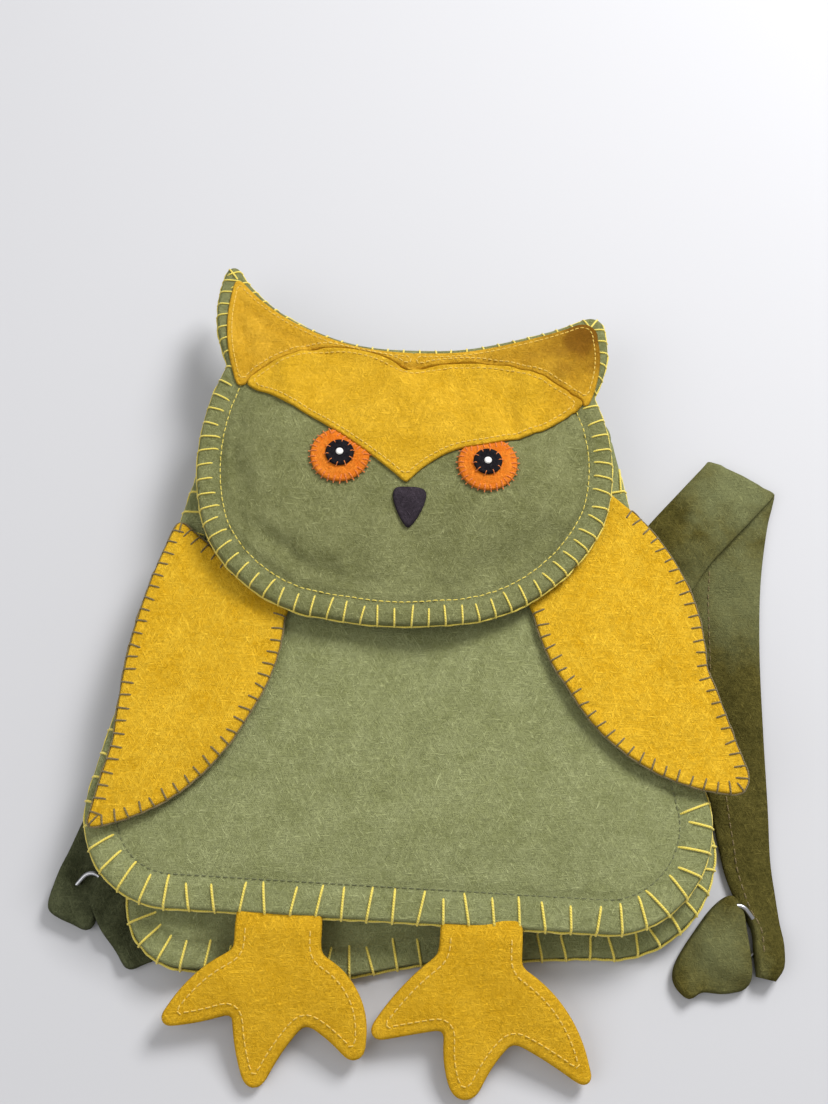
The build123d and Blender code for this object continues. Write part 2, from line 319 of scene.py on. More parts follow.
def add_node(tree, kind, inputs=None, **settings):
    node = tree.nodes.new(kind)
    for key, value in settings.items():
        setattr(node, key, value)
    for key, value in (inputs or {}).items():
        socket = node.inputs[key]
        if isinstance(value, bpy.types.NodeSocket):
            tree.links.new(value, socket)
        else:
            socket.default_value = value
    return node


def shader_group(name, takes, gives):
    group = bpy.data.node_groups.new(name, "ShaderNodeTree")
    for label, kind, value in takes:
        socket = group.interface.new_socket(label, in_out="INPUT", socket_type=kind)
        socket.default_value = value
    for label, kind in gives:
        group.interface.new_socket(label, in_out="OUTPUT", socket_type=kind)
    return group, group.nodes.new("NodeGroupInput"), group.nodes.new("NodeGroupOutput")


def math_node(tree, operation, a, b=None, clamp=False):
    node = add_node(tree, "ShaderNodeMath", operation=operation, use_clamp=clamp)
    for index, value in enumerate((a, b)):
        if isinstance(value, bpy.types.NodeSocket):
            tree.links.new(value, node.inputs[index])
        elif value is not None:
            node.inputs[index].default_value = value
    return node.outputs[0]


# %% Felt grain group
grain_group, took, gave = shader_group(
    "felt_grain",
    [("Seed", "NodeSocketFloat", 0.0), ("Cloud size", "NodeSocketFloat", 0.016),
     ("Fibre size", "NodeSocketFloat", 0.0009)],
    [("Tone", "NodeSocketFloat"), ("Height", "NodeSocketFloat"), ("Fleck", "NodeSocketFloat")])
place = add_node(grain_group, "ShaderNodeTexCoord").outputs["Object"]
shifted = add_node(grain_group, "ShaderNodeCombineXYZ", {0: took.outputs["Seed"], 1: took.outputs["Seed"]}).outputs[0]
place = add_node(grain_group, "ShaderNodeVectorMath", {0: place, 1: shifted}, operation="ADD").outputs[0]
cloud_scale = math_node(grain_group, "DIVIDE", 1.0, took.outputs["Cloud size"])
fibre_scale = math_node(grain_group, "DIVIDE", 1.0, took.outputs["Fibre size"])
cloud = add_node(grain_group, "ShaderNodeTexNoise", {"Vector": place, "Scale": cloud_scale, "Detail": 5.0,
                                                     "Roughness": 0.62, "Distortion": 0.4}).outputs["Fac"]
lump = add_node(grain_group, "ShaderNodeTexNoise",
                {"Vector": place, "Scale": math_node(grain_group, "MULTIPLY", cloud_scale, 6.0), "Detail": 3.0,
                 "Roughness": 0.6}).outputs["Fac"]
hairs = []
for turn in (0.4, 1.5, 2.6):
    turned = add_node(grain_group, "ShaderNodeVectorRotate", {"Vector": place, "Angle": turn},
                      rotation_type="Z_AXIS").outputs[0]
    drawn = add_node(grain_group, "ShaderNodeVectorMath", {0: turned, 1: (1.0, 0.14, 1.0)},
                     operation="MULTIPLY").outputs[0]
    hairs.append(add_node(grain_group, "ShaderNodeTexNoise",
                          {"Vector": drawn, "Scale": fibre_scale, "Detail": 2.0, "Roughness": 0.7,
                           "Distortion": 1.6}).outputs["Fac"])
hair = math_node(grain_group, "MAXIMUM", math_node(grain_group, "MAXIMUM", hairs[0], hairs[1]), hairs[2])
hair_only = add_node(grain_group, "ShaderNodeMapRange", {"Value": hair, "From Min": 0.42, "From Max": 0.74}).outputs[0]
tone = math_node(grain_group, "MULTIPLY", cloud, 0.5)
tone = math_node(grain_group, "ADD", tone, math_node(grain_group, "MULTIPLY", lump, 0.3))
tone = math_node(grain_group, "ADD", tone, math_node(grain_group, "MULTIPLY", hair_only, 0.3), clamp=True)
height = math_node(grain_group, "ADD", math_node(grain_group, "MULTIPLY", lump, 0.5),
                   math_node(grain_group, "MULTIPLY", hair_only, 0.5))
fleck = add_node(grain_group, "ShaderNodeMapRange", {"Value": hair, "From Min": 0.66, "From Max": 0.78}).outputs[0]
for label, value in (("Tone", tone), ("Height", height), ("Fleck", fleck)):
    grain_group.links.new(value, gave.inputs[label])

# %% Patch group: a soft-edged patch of another colour round one place
patch_group, took, gave = shader_group(
    "handling_soil",
    [("Place", "NodeSocketVector", (0, 0, 0)), ("Reach", "NodeSocketFloat", 0.03)],
    [("Soil", "NodeSocketFloat")])
place = add_node(patch_group, "ShaderNodeTexCoord").outputs["Object"]
away = add_node(patch_group, "ShaderNodeVectorMath", {0: place, 1: took.outputs["Place"]}, operation="DISTANCE")
ragged = add_node(patch_group, "ShaderNodeTexNoise", {"Vector": place, "Scale": 90.0, "Detail": 4.0}).outputs["Fac"]
near = math_node(patch_group, "DIVIDE", away.outputs["Value"], took.outputs["Reach"])
raggedness = math_node(patch_group, "MULTIPLY", math_node(patch_group, "SUBTRACT", ragged, 0.5), 0.9)
near = math_node(patch_group, "ADD", near, raggedness)
patch_mask = add_node(patch_group, "ShaderNodeMapRange", {"Value": near, "From Min": 1.0, "From Max": 0.25}).outputs[0]
patch_group.links.new(patch_mask, gave.inputs["Soil"])


# %% Felt materials
def felt_material(name, dark, light, seed, colour_patches=(), patch_colour=(150, 112, 50), sheen=0.1, fibre=0.9, bump=0.85,
                  fleck_amount=0.3, cloud=0.016):
    material = bpy.data.materials.new(name)
    material.use_nodes = True
    tree = material.node_tree
    surface = tree.nodes["Principled BSDF"]
    grain = add_node(tree, "ShaderNodeGroup", node_tree=grain_group)
    grain.inputs["Seed"].default_value = seed
    grain.inputs["Fibre size"].default_value = fibre * mm
    grain.inputs["Cloud size"].default_value = cloud
    spread = add_node(tree, "ShaderNodeMapRange", {"Value": grain.outputs["Tone"], "From Min": 0.36, "From Max": 0.72})
    colour = add_node(tree, "ShaderNodeMix", {0: spread.outputs[0], 6: linear(*dark), 7: linear(*light)},
                      data_type="RGBA").outputs[2]
    pale = tuple(min(255, c * 1.16 + 10) for c in light)
    amount = math_node(tree, "MULTIPLY", grain.outputs["Fleck"], fleck_amount)
    colour = add_node(tree, "ShaderNodeMix", {0: amount, 6: colour, 7: linear(*pale)}, data_type="RGBA").outputs[2]
    for spot, reach, strength in colour_patches:
        patch = add_node(tree, "ShaderNodeGroup", node_tree=patch_group)
        patch.inputs["Place"].default_value = [c * mm for c in spot]
        patch.inputs["Reach"].default_value = reach * mm
        amount = math_node(tree, "MULTIPLY", patch.outputs["Soil"], strength)
        colour = add_node(tree, "ShaderNodeMix", {0: amount, 6: colour, 7: linear(*patch_colour)},
                          data_type="RGBA").outputs[2]
    rough = add_node(tree, "ShaderNodeMapRange", {"Value": grain.outputs["Height"], "To Min": 0.98, "To Max": 0.84})
    relief = add_node(tree, "ShaderNodeBump", {"Height": grain.outputs["Height"], "Strength": bump,
                                               "Distance": 1.5 * mm})
    tree.links.new(colour, surface.inputs["Base Color"])
    tree.links.new(rough.outputs[0], surface.inputs["Roughness"])
    tree.links.new(relief.outputs[0], surface.inputs["Normal"])
    surface.inputs["Sheen Weight"].default_value = sheen
    surface.inputs["Sheen Roughness"].default_value = 0.45
    surface.inputs["Sheen Tint"].default_value = linear(*light)
    surface.inputs["Specular IOR Level"].default_value = 0.05
    return material


green_felt = felt_material("green_felt", (132, 136, 88), (162, 166, 118), 0.0)
lid_green = felt_material("lid_green_felt", (112, 114, 70), (148, 150, 104), 0.31)
# The strap felt is olive, with lighter green patches over its upper part and near its ring.
strap_felt = felt_material("strap_felt", (66, 62, 26), (106, 98, 48), 0.7, cloud=0.01,
                           colour_patches=[((163, 78, 8), 34, 0.8), ((166, 24, 5), 42, 0.6), ((150, -150, 6), 24, 0.6)],
                           patch_colour=(130, 134, 92))
# The left strap and left tab lie in shade, and this copy of the strap felt paints that shade into their colour.
painted_shade_strap_felt = felt_material("left_strap_felt", (62, 66, 44), (96, 100, 72), 0.77, cloud=0.01)
yellow_felt = felt_material("yellow_felt", (216, 164, 26), (240, 194, 56), 0.13, fleck_amount=0.12)
# The right ear patch turns brown towards its curled tip: a brown stain together with painted shade where the tip tilts.
ear_yellow = felt_material("ear_yellow_felt", (202, 152, 32), (228, 178, 56), 0.53, fleck_amount=0.12,
                           colour_patches=[((82, 145, 44), 34, 0.85), ((86, 152, 44), 22, 0.6), ((48, 126, 44), 26, 0.3)],
                           patch_colour=(118, 76, 20))
# The brow turns a deeper orange towards its right end.
brow_yellow = felt_material("brow_yellow_felt", (208, 160, 30), (236, 188, 54), 0.22, fleck_amount=0.12,
                            colour_patches=[((76, 108, 43), 18, 0.35)], patch_colour=(176, 122, 30))
foot_yellow = felt_material("foot_yellow_felt", (214, 162, 26), (240, 190, 50), 0.9, fleck_amount=0.12)
orange_felt = felt_material("orange_felt", (236, 116, 26), (252, 152, 54), 1.4, fibre=0.7, fleck_amount=0.1)
dark_felt = felt_material("aubergine_felt", (48, 42, 48), (70, 62, 70), 1.9)
pupil_felt = felt_material("black_felt", (24, 22, 26), (44, 42, 46), 2.3)
print("felt materials made")


# %% [markdown]
# ## Yarn and thread
# The yarn is two-ply; painted shade in the grooves between the plies makes dark bands wind round
# it. Each thread mesh carries its own length and girth as attributes, and the bands follow them.

# %% Yarn group and materials
yarn_group, took, gave = shader_group(
    "twisted_yarn", [("Twists per metre", "NodeSocketFloat", 420.0)],
    [("Ply", "NodeSocketFloat"), ("Fuzz", "NodeSocketFloat")])
along = add_node(yarn_group, "ShaderNodeAttribute", attribute_name="thread_length").outputs["Fac"]
around = add_node(yarn_group, "ShaderNodeAttribute", attribute_name="thread_girth").outputs["Fac"]
turns = math_node(yarn_group, "ADD", math_node(yarn_group, "MULTIPLY", along, took.outputs["Twists per metre"]), around)
wave = math_node(yarn_group, "SINE", math_node(yarn_group, "MULTIPLY", turns, 4 * math.pi))
ply = add_node(yarn_group, "ShaderNodeMapRange", {"Value": wave, "From Min": -1.0, "From Max": 1.0}).outputs[0]
fuzz = add_node(yarn_group, "ShaderNodeTexNoise",
                {"Vector": add_node(yarn_group, "ShaderNodeTexCoord").outputs["Object"], "Scale": 900.0,
                 "Detail": 3.0}).outputs["Fac"]
yarn_group.links.new(ply, gave.inputs["Ply"])
yarn_group.links.new(fuzz, gave.inputs["Fuzz"])


def yarn_material(name, dark, light, sheen=0.3):
    material = bpy.data.materials.new(name)
    material.use_nodes = True
    tree = material.node_tree
    surface = tree.nodes["Principled BSDF"]
    yarn = add_node(tree, "ShaderNodeGroup", node_tree=yarn_group)
    # The ply bands are painted shade of the grooves between the plies; the fuzz adds random tone.
    blend = math_node(tree, "ADD", math_node(tree, "MULTIPLY", yarn.outputs["Ply"], 0.6),
                      math_node(tree, "MULTIPLY", yarn.outputs["Fuzz"], 0.5), clamp=True)
    colour = add_node(tree, "ShaderNodeMix", {0: blend, 6: linear(*dark), 7: linear(*light)}, data_type="RGBA")
    relief = add_node(tree, "ShaderNodeBump", {"Height": yarn.outputs["Ply"], "Strength": 0.6, "Distance": 0.3 * mm})
    tree.links.new(colour.outputs[2], surface.inputs["Base Color"])
    tree.links.new(relief.outputs[0], surface.inputs["Normal"])
    rough = add_node(tree, "ShaderNodeMapRange", {"Value": yarn.outputs["Fuzz"], "To Min": 0.6, "To Max": 0.85})
    tree.links.new(rough.outputs[0], surface.inputs["Roughness"])
    surface.inputs["Sheen Weight"].default_value = sheen
    return material


lemon_yarn = yarn_material("lemon_yarn", (214, 188, 56), (244, 226, 104))
olive_yarn = yarn_material("olive_yarn", (88, 74, 34), (130, 112, 58))
yellow_thread = yarn_material("yellow_thread", (222, 176, 44), (246, 212, 92))
green_thread = yarn_material("green_thread", (88, 92, 54), (122, 126, 80))
orange_thread = yarn_material("orange_thread", (214, 98, 20), (242, 140, 46))
white_yarn = yarn_material("white_yarn", (216, 214, 208), (246, 245, 240))


# %% [markdown]
# ## Stitches with Geometry Nodes
# A blanket stitch is a leg from the edge into the felt, again and again, with the yarn running
# along the edge between the legs. The tree places the legs at even steps along the edge, turns
# each one inward with a little unevenness, and drops it onto the felt with a ray.

# %% Geometry Nodes helpers
def geometry_tree(name, takes):
    tree = bpy.data.node_groups.new(name, "GeometryNodeTree")
    tree.interface.new_socket("Geometry", in_out="INPUT", socket_type="NodeSocketGeometry")
    for label, kind, value in takes:
        socket = tree.interface.new_socket(label, in_out="INPUT", socket_type=kind)
        if value is not None:
            socket.default_value = value
    tree.interface.new_socket("Geometry", in_out="OUTPUT", socket_type="NodeSocketGeometry")
    return tree, tree.nodes.new("NodeGroupInput"), tree.nodes.new("NodeGroupOutput")


def drop_onto_felt(tree, took, curve, sunk_ends):
    """Moves a thread's points down onto the felt below, and pulls its ends into it."""
    here = add_node(tree, "GeometryNodeInputPosition").outputs[0]
    felt_below = add_node(tree, "GeometryNodeObjectInfo", {"Object": took.outputs["Felt"]}).outputs["Geometry"]
    raised = add_node(tree, "ShaderNodeVectorMath", {0: here, 1: (0, 0, 0.05)}, operation="ADD").outputs[0]
    ray = add_node(tree, "GeometryNodeRaycast", {"Target Geometry": felt_below, "Source Position": raised,
                                                 "Ray Direction": (0, 0, -1), "Ray Length": 0.2})
    factor = add_node(tree, "GeometryNodeSplineParameter").outputs["Factor"]
    lift = add_node(tree, "ShaderNodeMapRange", {"Value": factor, "From Min": 0.84, "From Max": 1.0, "To Min": 0.6,
                                                 "To Max": -1.3}).outputs[0]
    if sunk_ends:
        first = add_node(tree, "ShaderNodeMapRange", {"Value": factor, "From Min": 0.0, "From Max": 0.16,
                                                      "To Min": -1.3, "To Max": 0.6}).outputs[0]
        lift = math_node(tree, "MINIMUM", lift, first)
    rise = math_node(tree, "MULTIPLY", lift, took.outputs["Yarn radius"])
    offset = add_node(tree, "ShaderNodeCombineXYZ", {2: rise}).outputs[0]
    on_felt = add_node(tree, "ShaderNodeVectorMath", {0: ray.outputs["Hit Position"], 1: offset},
                       operation="ADD").outputs[0]
    chosen = add_node(tree, "GeometryNodeSwitch", {0: ray.outputs["Is Hit"], 1: here, 2: on_felt},
                      input_type="VECTOR").outputs[0]
    return add_node(tree, "GeometryNodeSetPosition", {"Geometry": curve, "Position": chosen}).outputs[0]


def thread_mesh(tree, took, curve, thickness=1.0, sides=6):
    length = add_node(tree, "GeometryNodeSplineParameter").outputs["Length"]
    curve = add_node(tree, "GeometryNodeStoreNamedAttribute",
                     {"Geometry": curve, "Name": "thread_length", "Value": length}).outputs[0]
    radius = math_node(tree, "MULTIPLY", took.outputs["Yarn radius"], thickness)
    profile = add_node(tree, "GeometryNodeCurvePrimitiveCircle", {"Resolution": sides, "Radius": radius}).outputs[0]
    girth = add_node(tree, "GeometryNodeSplineParameter").outputs["Factor"]
    profile = add_node(tree, "GeometryNodeStoreNamedAttribute",
                       {"Geometry": profile, "Name": "thread_girth", "Value": girth}).outputs[0]
    tube = add_node(tree, "GeometryNodeCurveToMesh", {"Curve": curve, "Profile Curve": profile, "Fill Caps": True})
    return add_node(tree, "GeometryNodeSetShadeSmooth", {"Geometry": tube.outputs[0]}).outputs[0]


def random_between(tree, low, high, seed):
    node = add_node(tree, "FunctionNodeRandomValue", {2: low, 3: high, 8: seed}, data_type="FLOAT")
    return node.outputs[1]


def close_tree(tree, gave, took, geometry):
    solid = add_node(tree, "GeometryNodeRealizeInstances", {"Geometry": geometry}).outputs[0]
    done = add_node(tree, "GeometryNodeSetMaterial", {"Geometry": solid, "Material": took.outputs["Thread"]})
    tree.links.new(done.outputs[0], gave.inputs[0])


# %% Blanket stitch tree
blanket_tree, took, gave = geometry_tree("blanket_stitch", [
    ("Felt", "NodeSocketObject", None), ("Thread", "NodeSocketMaterial", None),
    ("Spacing", "NodeSocketFloat", 0.01), ("Leg length", "NodeSocketFloat", 0.012),
    ("Yarn radius", "NodeSocketFloat", 0.0005), ("Overhang", "NodeSocketFloat", 0.1),
    ("Slant", "NodeSocketFloat", 0.12), ("Purl", "NodeSocketFloat", 1.0), ("Seed", "NodeSocketInt", 1)])
edge_curve = add_node(blanket_tree, "GeometryNodeMeshToCurve", {"Mesh": took.outputs["Geometry"]}).outputs[0]
spaced = add_node(blanket_tree, "GeometryNodeResampleCurve", {"Curve": edge_curve, "Length": took.outputs["Spacing"]},
                  mode="LENGTH").outputs[0]
inward = add_node(blanket_tree, "GeometryNodeInputNamedAttribute", {"Name": "inward"},
                  data_type="FLOAT_VECTOR").outputs[0]
slant = random_between(blanket_tree, math_node(blanket_tree, "MULTIPLY", took.outputs["Slant"], -1.0),
                       took.outputs["Slant"], took.outputs["Seed"])
slanted = add_node(blanket_tree, "ShaderNodeVectorRotate", {"Vector": inward, "Angle": slant},
                   rotation_type="Z_AXIS").outputs[0]
facing = add_node(blanket_tree, "FunctionNodeAlignRotationToVector", {"Vector": slanted}, axis="X").outputs[0]
start = add_node(blanket_tree, "ShaderNodeCombineXYZ",
                 {0: math_node(blanket_tree, "MULTIPLY", took.outputs["Overhang"], -1.0)}).outputs[0]
leg = add_node(blanket_tree, "GeometryNodeMeshLine", {"Count": 9, "Start Location": start, "Offset": (1, 0, 0)},
               mode="END_POINTS").outputs[0]
leg = add_node(blanket_tree, "GeometryNodeMeshToCurve", {"Mesh": leg}).outputs[0]
size = random_between(blanket_tree, math_node(blanket_tree, "MULTIPLY", took.outputs["Leg length"], 0.84),
                      math_node(blanket_tree, "MULTIPLY", took.outputs["Leg length"], 1.12),
                      math_node(blanket_tree, "ADD", took.outputs["Seed"], 7.0))
legs = add_node(blanket_tree, "GeometryNodeInstanceOnPoints",
                {"Points": spaced, "Instance": leg, "Rotation": facing, "Scale": size}).outputs[0]
legs = add_node(blanket_tree, "GeometryNodeRealizeInstances", {"Geometry": legs}).outputs[0]
legs = drop_onto_felt(blanket_tree, took, legs, False)
legs = thread_mesh(blanket_tree, took, legs)
fine = add_node(blanket_tree, "GeometryNodeResampleCurve", {"Curve": edge_curve, "Length": 0.0012},
                mode="LENGTH").outputs[0]
waver = add_node(blanket_tree, "ShaderNodeTexNoise", {"Scale": 150.0, "Detail": 1.0}).outputs["Color"]
waver = add_node(blanket_tree, "ShaderNodeVectorMath", {0: waver, 1: (0.5, 0.5, 0.5)}, operation="SUBTRACT").outputs[0]
waver = add_node(blanket_tree, "ShaderNodeVectorMath", {0: waver, "Scale": 0.0016}, operation="SCALE").outputs[0]
outside = add_node(blanket_tree, "ShaderNodeVectorMath", {0: inward, "Scale": -0.0004}, operation="SCALE").outputs[0]
moved = add_node(blanket_tree, "ShaderNodeVectorMath", {0: waver, 1: outside}, operation="ADD").outputs[0]
fine = add_node(blanket_tree, "GeometryNodeSetPosition", {"Geometry": fine, "Offset": moved}).outputs[0]
purl = thread_mesh(blanket_tree, took, fine, 1.05)
wanted = math_node(blanket_tree, "GREATER_THAN", took.outputs["Purl"], 0.5)
purl = add_node(blanket_tree, "GeometryNodeSwitch", {0: wanted, 2: purl}, input_type="GEOMETRY").outputs[0]
both = blanket_tree.nodes.new("GeometryNodeJoinGeometry")
for part in (legs, purl):
    blanket_tree.links.new(part, both.inputs[0])
close_tree(blanket_tree, gave, took, both.outputs[0])

# %% Running stitch tree
running_tree, took, gave = geometry_tree("running_stitch", [
    ("Felt", "NodeSocketObject", None), ("Thread", "NodeSocketMaterial", None),
    ("Spacing", "NodeSocketFloat", 0.0032), ("Stitch length", "NodeSocketFloat", 0.0024),
    ("Yarn radius", "NodeSocketFloat", 0.0003)])
line = add_node(running_tree, "GeometryNodeMeshToCurve", {"Mesh": took.outputs["Geometry"]}).outputs[0]
line = add_node(running_tree, "GeometryNodeResampleCurve", {"Curve": line, "Length": took.outputs["Spacing"]},
                mode="LENGTH").outputs[0]
direction = add_node(running_tree, "GeometryNodeInputTangent").outputs[0]
facing = add_node(running_tree, "FunctionNodeAlignRotationToVector", {"Vector": direction}, axis="X").outputs[0]
dash = add_node(running_tree, "GeometryNodeMeshLine", {"Count": 5, "Start Location": (-0.5, 0, 0),
                                                       "Offset": (0.5, 0, 0)}, mode="END_POINTS").outputs[0]
dash = add_node(running_tree, "GeometryNodeMeshToCurve", {"Mesh": dash}).outputs[0]
dashes = add_node(running_tree, "GeometryNodeInstanceOnPoints",
                  {"Points": line, "Instance": dash, "Rotation": facing,
                   "Scale": took.outputs["Stitch length"]}).outputs[0]
dashes = add_node(running_tree, "GeometryNodeRealizeInstances", {"Geometry": dashes}).outputs[0]
dashes = drop_onto_felt(running_tree, took, dashes, True)
close_tree(running_tree, gave, took, thread_mesh(running_tree, took, dashes, 1.0, 5))


# %% Sewing helpers
def sew(name, tree, path, inward, values, closed=True):
    """Runs a stitch tree along a path of points and returns the plain mesh."""
    count = len(path)
    mesh = bpy.data.meshes.new(name)
    edges = [(i, i + 1) for i in range(count - 1)] + ([(count - 1, 0)] if closed else [])
    mesh.from_pydata([tuple(map(float, p)) for p in path], edges, [])
    if inward is not None:
        kept = mesh.attributes.new("inward", "FLOAT_VECTOR", "POINT")
        kept.data.foreach_set("vector", np.column_stack([inward, np.zeros(count)]).astype(np.float32).ravel())
    obj = bpy.data.objects.new(name, mesh)
    bpy.context.scene.collection.objects.link(obj)
    modifier = obj.modifiers.new("stitches", "NODES")
    modifier.node_group = tree
    for item in tree.interface.items_tree:
        if item.item_type == "SOCKET" and item.in_out == "INPUT" and item.name in values:
            modifier[item.identifier] = values[item.name]
    graph = bpy.context.evaluated_depsgraph_get()
    made = bpy.data.meshes.new_from_object(obj.evaluated_get(graph), depsgraph=graph)
    obj.modifiers.clear()
    obj.data = made
    made.name = name
    print(f"{name}: {len(made.polygons)} faces")
    return obj


def blanket(name, on, ring, heights, thread, spacing, leg, radius=0.55, overhang=0.08, slant=0.12, purl=1.0, seed=1,
            closed=True, inward=None):
    path = np.column_stack([ring, heights])
    inward = -outward_of(ring) if inward is None else inward
    return sew(name, blanket_tree, path, inward,
               {"Felt": on, "Thread": thread, "Spacing": spacing * mm, "Leg length": leg * mm,
                "Yarn radius": radius * mm, "Overhang": overhang, "Slant": slant, "Purl": purl, "Seed": seed}, closed)


def topstitch(name, on, ring, thread, spacing=3.2, stitch=2.5, radius=0.28, closed=True):
    lowest = min(v.co.z for v in on.data.vertices)
    path = np.column_stack([ring, np.full(len(ring), lowest + 1 * mm)])
    return sew(name, running_tree, path, None,
               {"Felt": on, "Thread": thread, "Spacing": spacing * mm, "Stitch length": stitch * mm,
                "Yarn radius": radius * mm}, closed)


# %% [markdown]
# ## The bag
# The back lies on the table and lifts at both sides, because the gusset pulls it up. The front is
# a puffed panel with a flat sewn border. Between them the gusset sags.

# %% Heights shared by the bag's layers
front_ring = ring_of("front_panel")
back_ring = ring_of("back_panel")
front_low, front_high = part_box("front_panel")
back_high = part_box("back_panel")[1]
rim_lift = back_high[2] - felt
snap = np.mean([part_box("snap_socket")[0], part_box("snap_socket")[1]], axis=0)
flat_left, flat_right, slope_width = -74 * mm, 112 * mm, 23 * mm
seam_border = 14.5 * mm


def side_lift(x):
    left = np.clip((flat_left - x) / slope_width, 0, 1)
    right = np.clip((x - flat_right) / slope_width, 0, 1)
    return rim_lift * np.maximum(left, right)


def from_snap(x, y):
    return np.hypot(x - snap[0], y - snap[1])


def front_swell(x, y, d):
    near_snap = np.exp(-(from_snap(x, y) / (17 * mm)) ** 2)
    swell = 3.0 * mm * smooth(d / (46 * mm)) + 0.7 * mm * ripple(x, y, 62 * mm, 5) * smooth(d / (12 * mm))
    return swell * (1 - near_snap)


def border_wave(x, y, d):
    return 1.1 * mm * ripple(x, y, 52 * mm, 9) * (1 - smooth(d / (22 * mm)))


def groove(d, depth_in, depth, width=1.3 * mm):
    return depth * np.exp(-((d - depth_in) / width) ** 2)


def front_top(x, y, d):
    puffed_border = 0.5 * mm * np.sin(np.pi * np.clip(d / seam_border, 0, 1))
    return (front_high[2] + front_swell(x, y, d) + border_wave(x, y, d) + puffed_border
            - groove(d, seam_border, 1.3 * mm))


def front_bottom(x, y, d):
    return front_low[2] + front_swell(x, y, d) + border_wave(x, y, d)


# %% Back and front
back_felt = felt_piece("back_felt", back_ring,
                       lambda x, y, d: side_lift(x) + felt, lambda x, y, d: side_lift(x), step=4 * mm,
                       material=green_felt)
front_felt = felt_piece("front_felt", front_ring, front_top, front_bottom, step=2.8 * mm, material=green_felt)

# %% Gusset
gusset_end_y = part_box("gusset")[1][1]


def lower_path(ring, count=230):
    """The part of an outline below the mouth, from its left end round the bottom to its right end."""
    low = ring[:, 1] < gusset_end_y
    first = next(i for i in range(len(ring)) if low[i] and not low[i - 1])
    path = np.roll(ring, -first, 0)[:low.sum()]
    along = np.concatenate([[0], np.cumsum(np.linalg.norm(np.diff(path, axis=0), axis=1))])
    places = np.linspace(0, along[-1], count)
    return np.column_stack([np.interp(places, along, path[:, k]) for k in (0, 1)])


edge_f, seam_f = lower_path(front_ring), lower_path(inset(front_ring, seam_border))
edge_b, seam_b = lower_path(back_ring), lower_path(inset(back_ring, seam_border))
side = outward_of(seam_f)
side[0], side[-1] = side[1], side[-2]
top_z = front_low[2] - felt / 2
top_wave = border_wave(edge_f[:, 0], edge_f[:, 1], np.zeros(len(edge_f)))
low_z = side_lift(edge_b[:, 0]) + 1.5 * felt
low_wave = 0.7 * mm * (1 + ripple(edge_b[:, 0], edge_b[:, 1], 45 * mm, 21))
bulge = 1.5 * mm * ripple(seam_f[:, 0], seam_f[:, 1], 60 * mm, 14)
sections = [
    (edge_f, 0.0, top_z + top_wave), ((edge_f + seam_f) / 2, 0.0, top_z + top_wave * 0.7),
    (0.12 * edge_f + 0.88 * seam_f, 0.0, top_z - 0.4 * mm), (seam_f, 0.8 * mm, top_z - 3.4 * mm),
    (0.7 * seam_f + 0.3 * seam_b, 3.2 * mm, top_z * 0.62 + low_z * 0.38),
    (0.35 * seam_f + 0.65 * seam_b, 3.4 * mm, top_z * 0.36 + low_z * 0.64),
    (seam_b, 0.8 * mm, low_z + 3.2 * mm), (0.88 * seam_b + 0.12 * edge_b, 0.0, low_z + 0.4 * mm),
    ((seam_b + edge_b) / 2, 0.0, low_z + low_wave * 0.5), (edge_b, 0.0, low_z + low_wave)]
verts, faces = [], []
width = len(sections)
for path, out, z in sections:
    moved = path + side * (out + (bulge[:, None] if out > 2 * mm else 0))
    verts.append(np.column_stack([moved, z + np.zeros(len(moved))]))
profile = np.stack(verts, 1)
verts = profile.reshape(-1, 3)
for i in range(len(edge_f) - 1):
    for j in range(width - 1):
        a = i * width + j
        faces.append((a, a + 1, a + width + 1, a + width))
gusset_felt = mesh_object("gusset_felt", verts, faces, green_felt)


def apply_modifiers(obj):
    graph = bpy.context.evaluated_depsgraph_get()
    made = bpy.data.meshes.new_from_object(obj.evaluated_get(graph), depsgraph=graph)
    obj.modifiers.clear()
    obj.data = made
    made.name = obj.name
    bm = bmesh.new()
    bm.from_mesh(made)
    bmesh.ops.recalc_face_normals(bm, faces=bm.faces)
    bm.to_mesh(made)
    bm.free()


def thicken(obj, thickness):
    """Gives an open sheet its thickness, half to each side, and rounds it once."""
    thick = obj.modifiers.new("thickness", "SOLIDIFY")
    thick.thickness = thickness
    thick.offset = 0
    soft = obj.modifiers.new("soft", "SUBSURF")
    soft.levels = soft.render_levels = 1
    apply_modifiers(obj)


thicken(gusset_felt, felt * 0.96)
print("gusset faces:", len(gusset_felt.data.polygons))

# %% The band that carries the lid
band_low, band_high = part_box("top_band")
columns, sag_waves = 70, 90
rows = []
for x in np.linspace(band_low[0], band_high[0], columns):
    sag = 0.6 * mm * math.sin(x * sag_waves)
    band_profile = ((-1.6, 1.6), (1.4, 2.4), (2.6, 8.0), (3.0 + sag / mm, 17.0),
                    (2.9, 26.0), (2.8, 32.0), (5.2, 36.4))
    for y, z in band_profile:
        rows.append((x, band_low[1] + y * mm, z * mm))
count = len(band_profile)
faces = [(i * count + j, i * count + j + 1, (i + 1) * count + j + 1, (i + 1) * count + j)
         for i in range(columns - 1) for j in range(count - 1)]
band_felt = mesh_object("top_band_felt", rows, faces, green_felt)
thicken(band_felt, felt * 0.9)

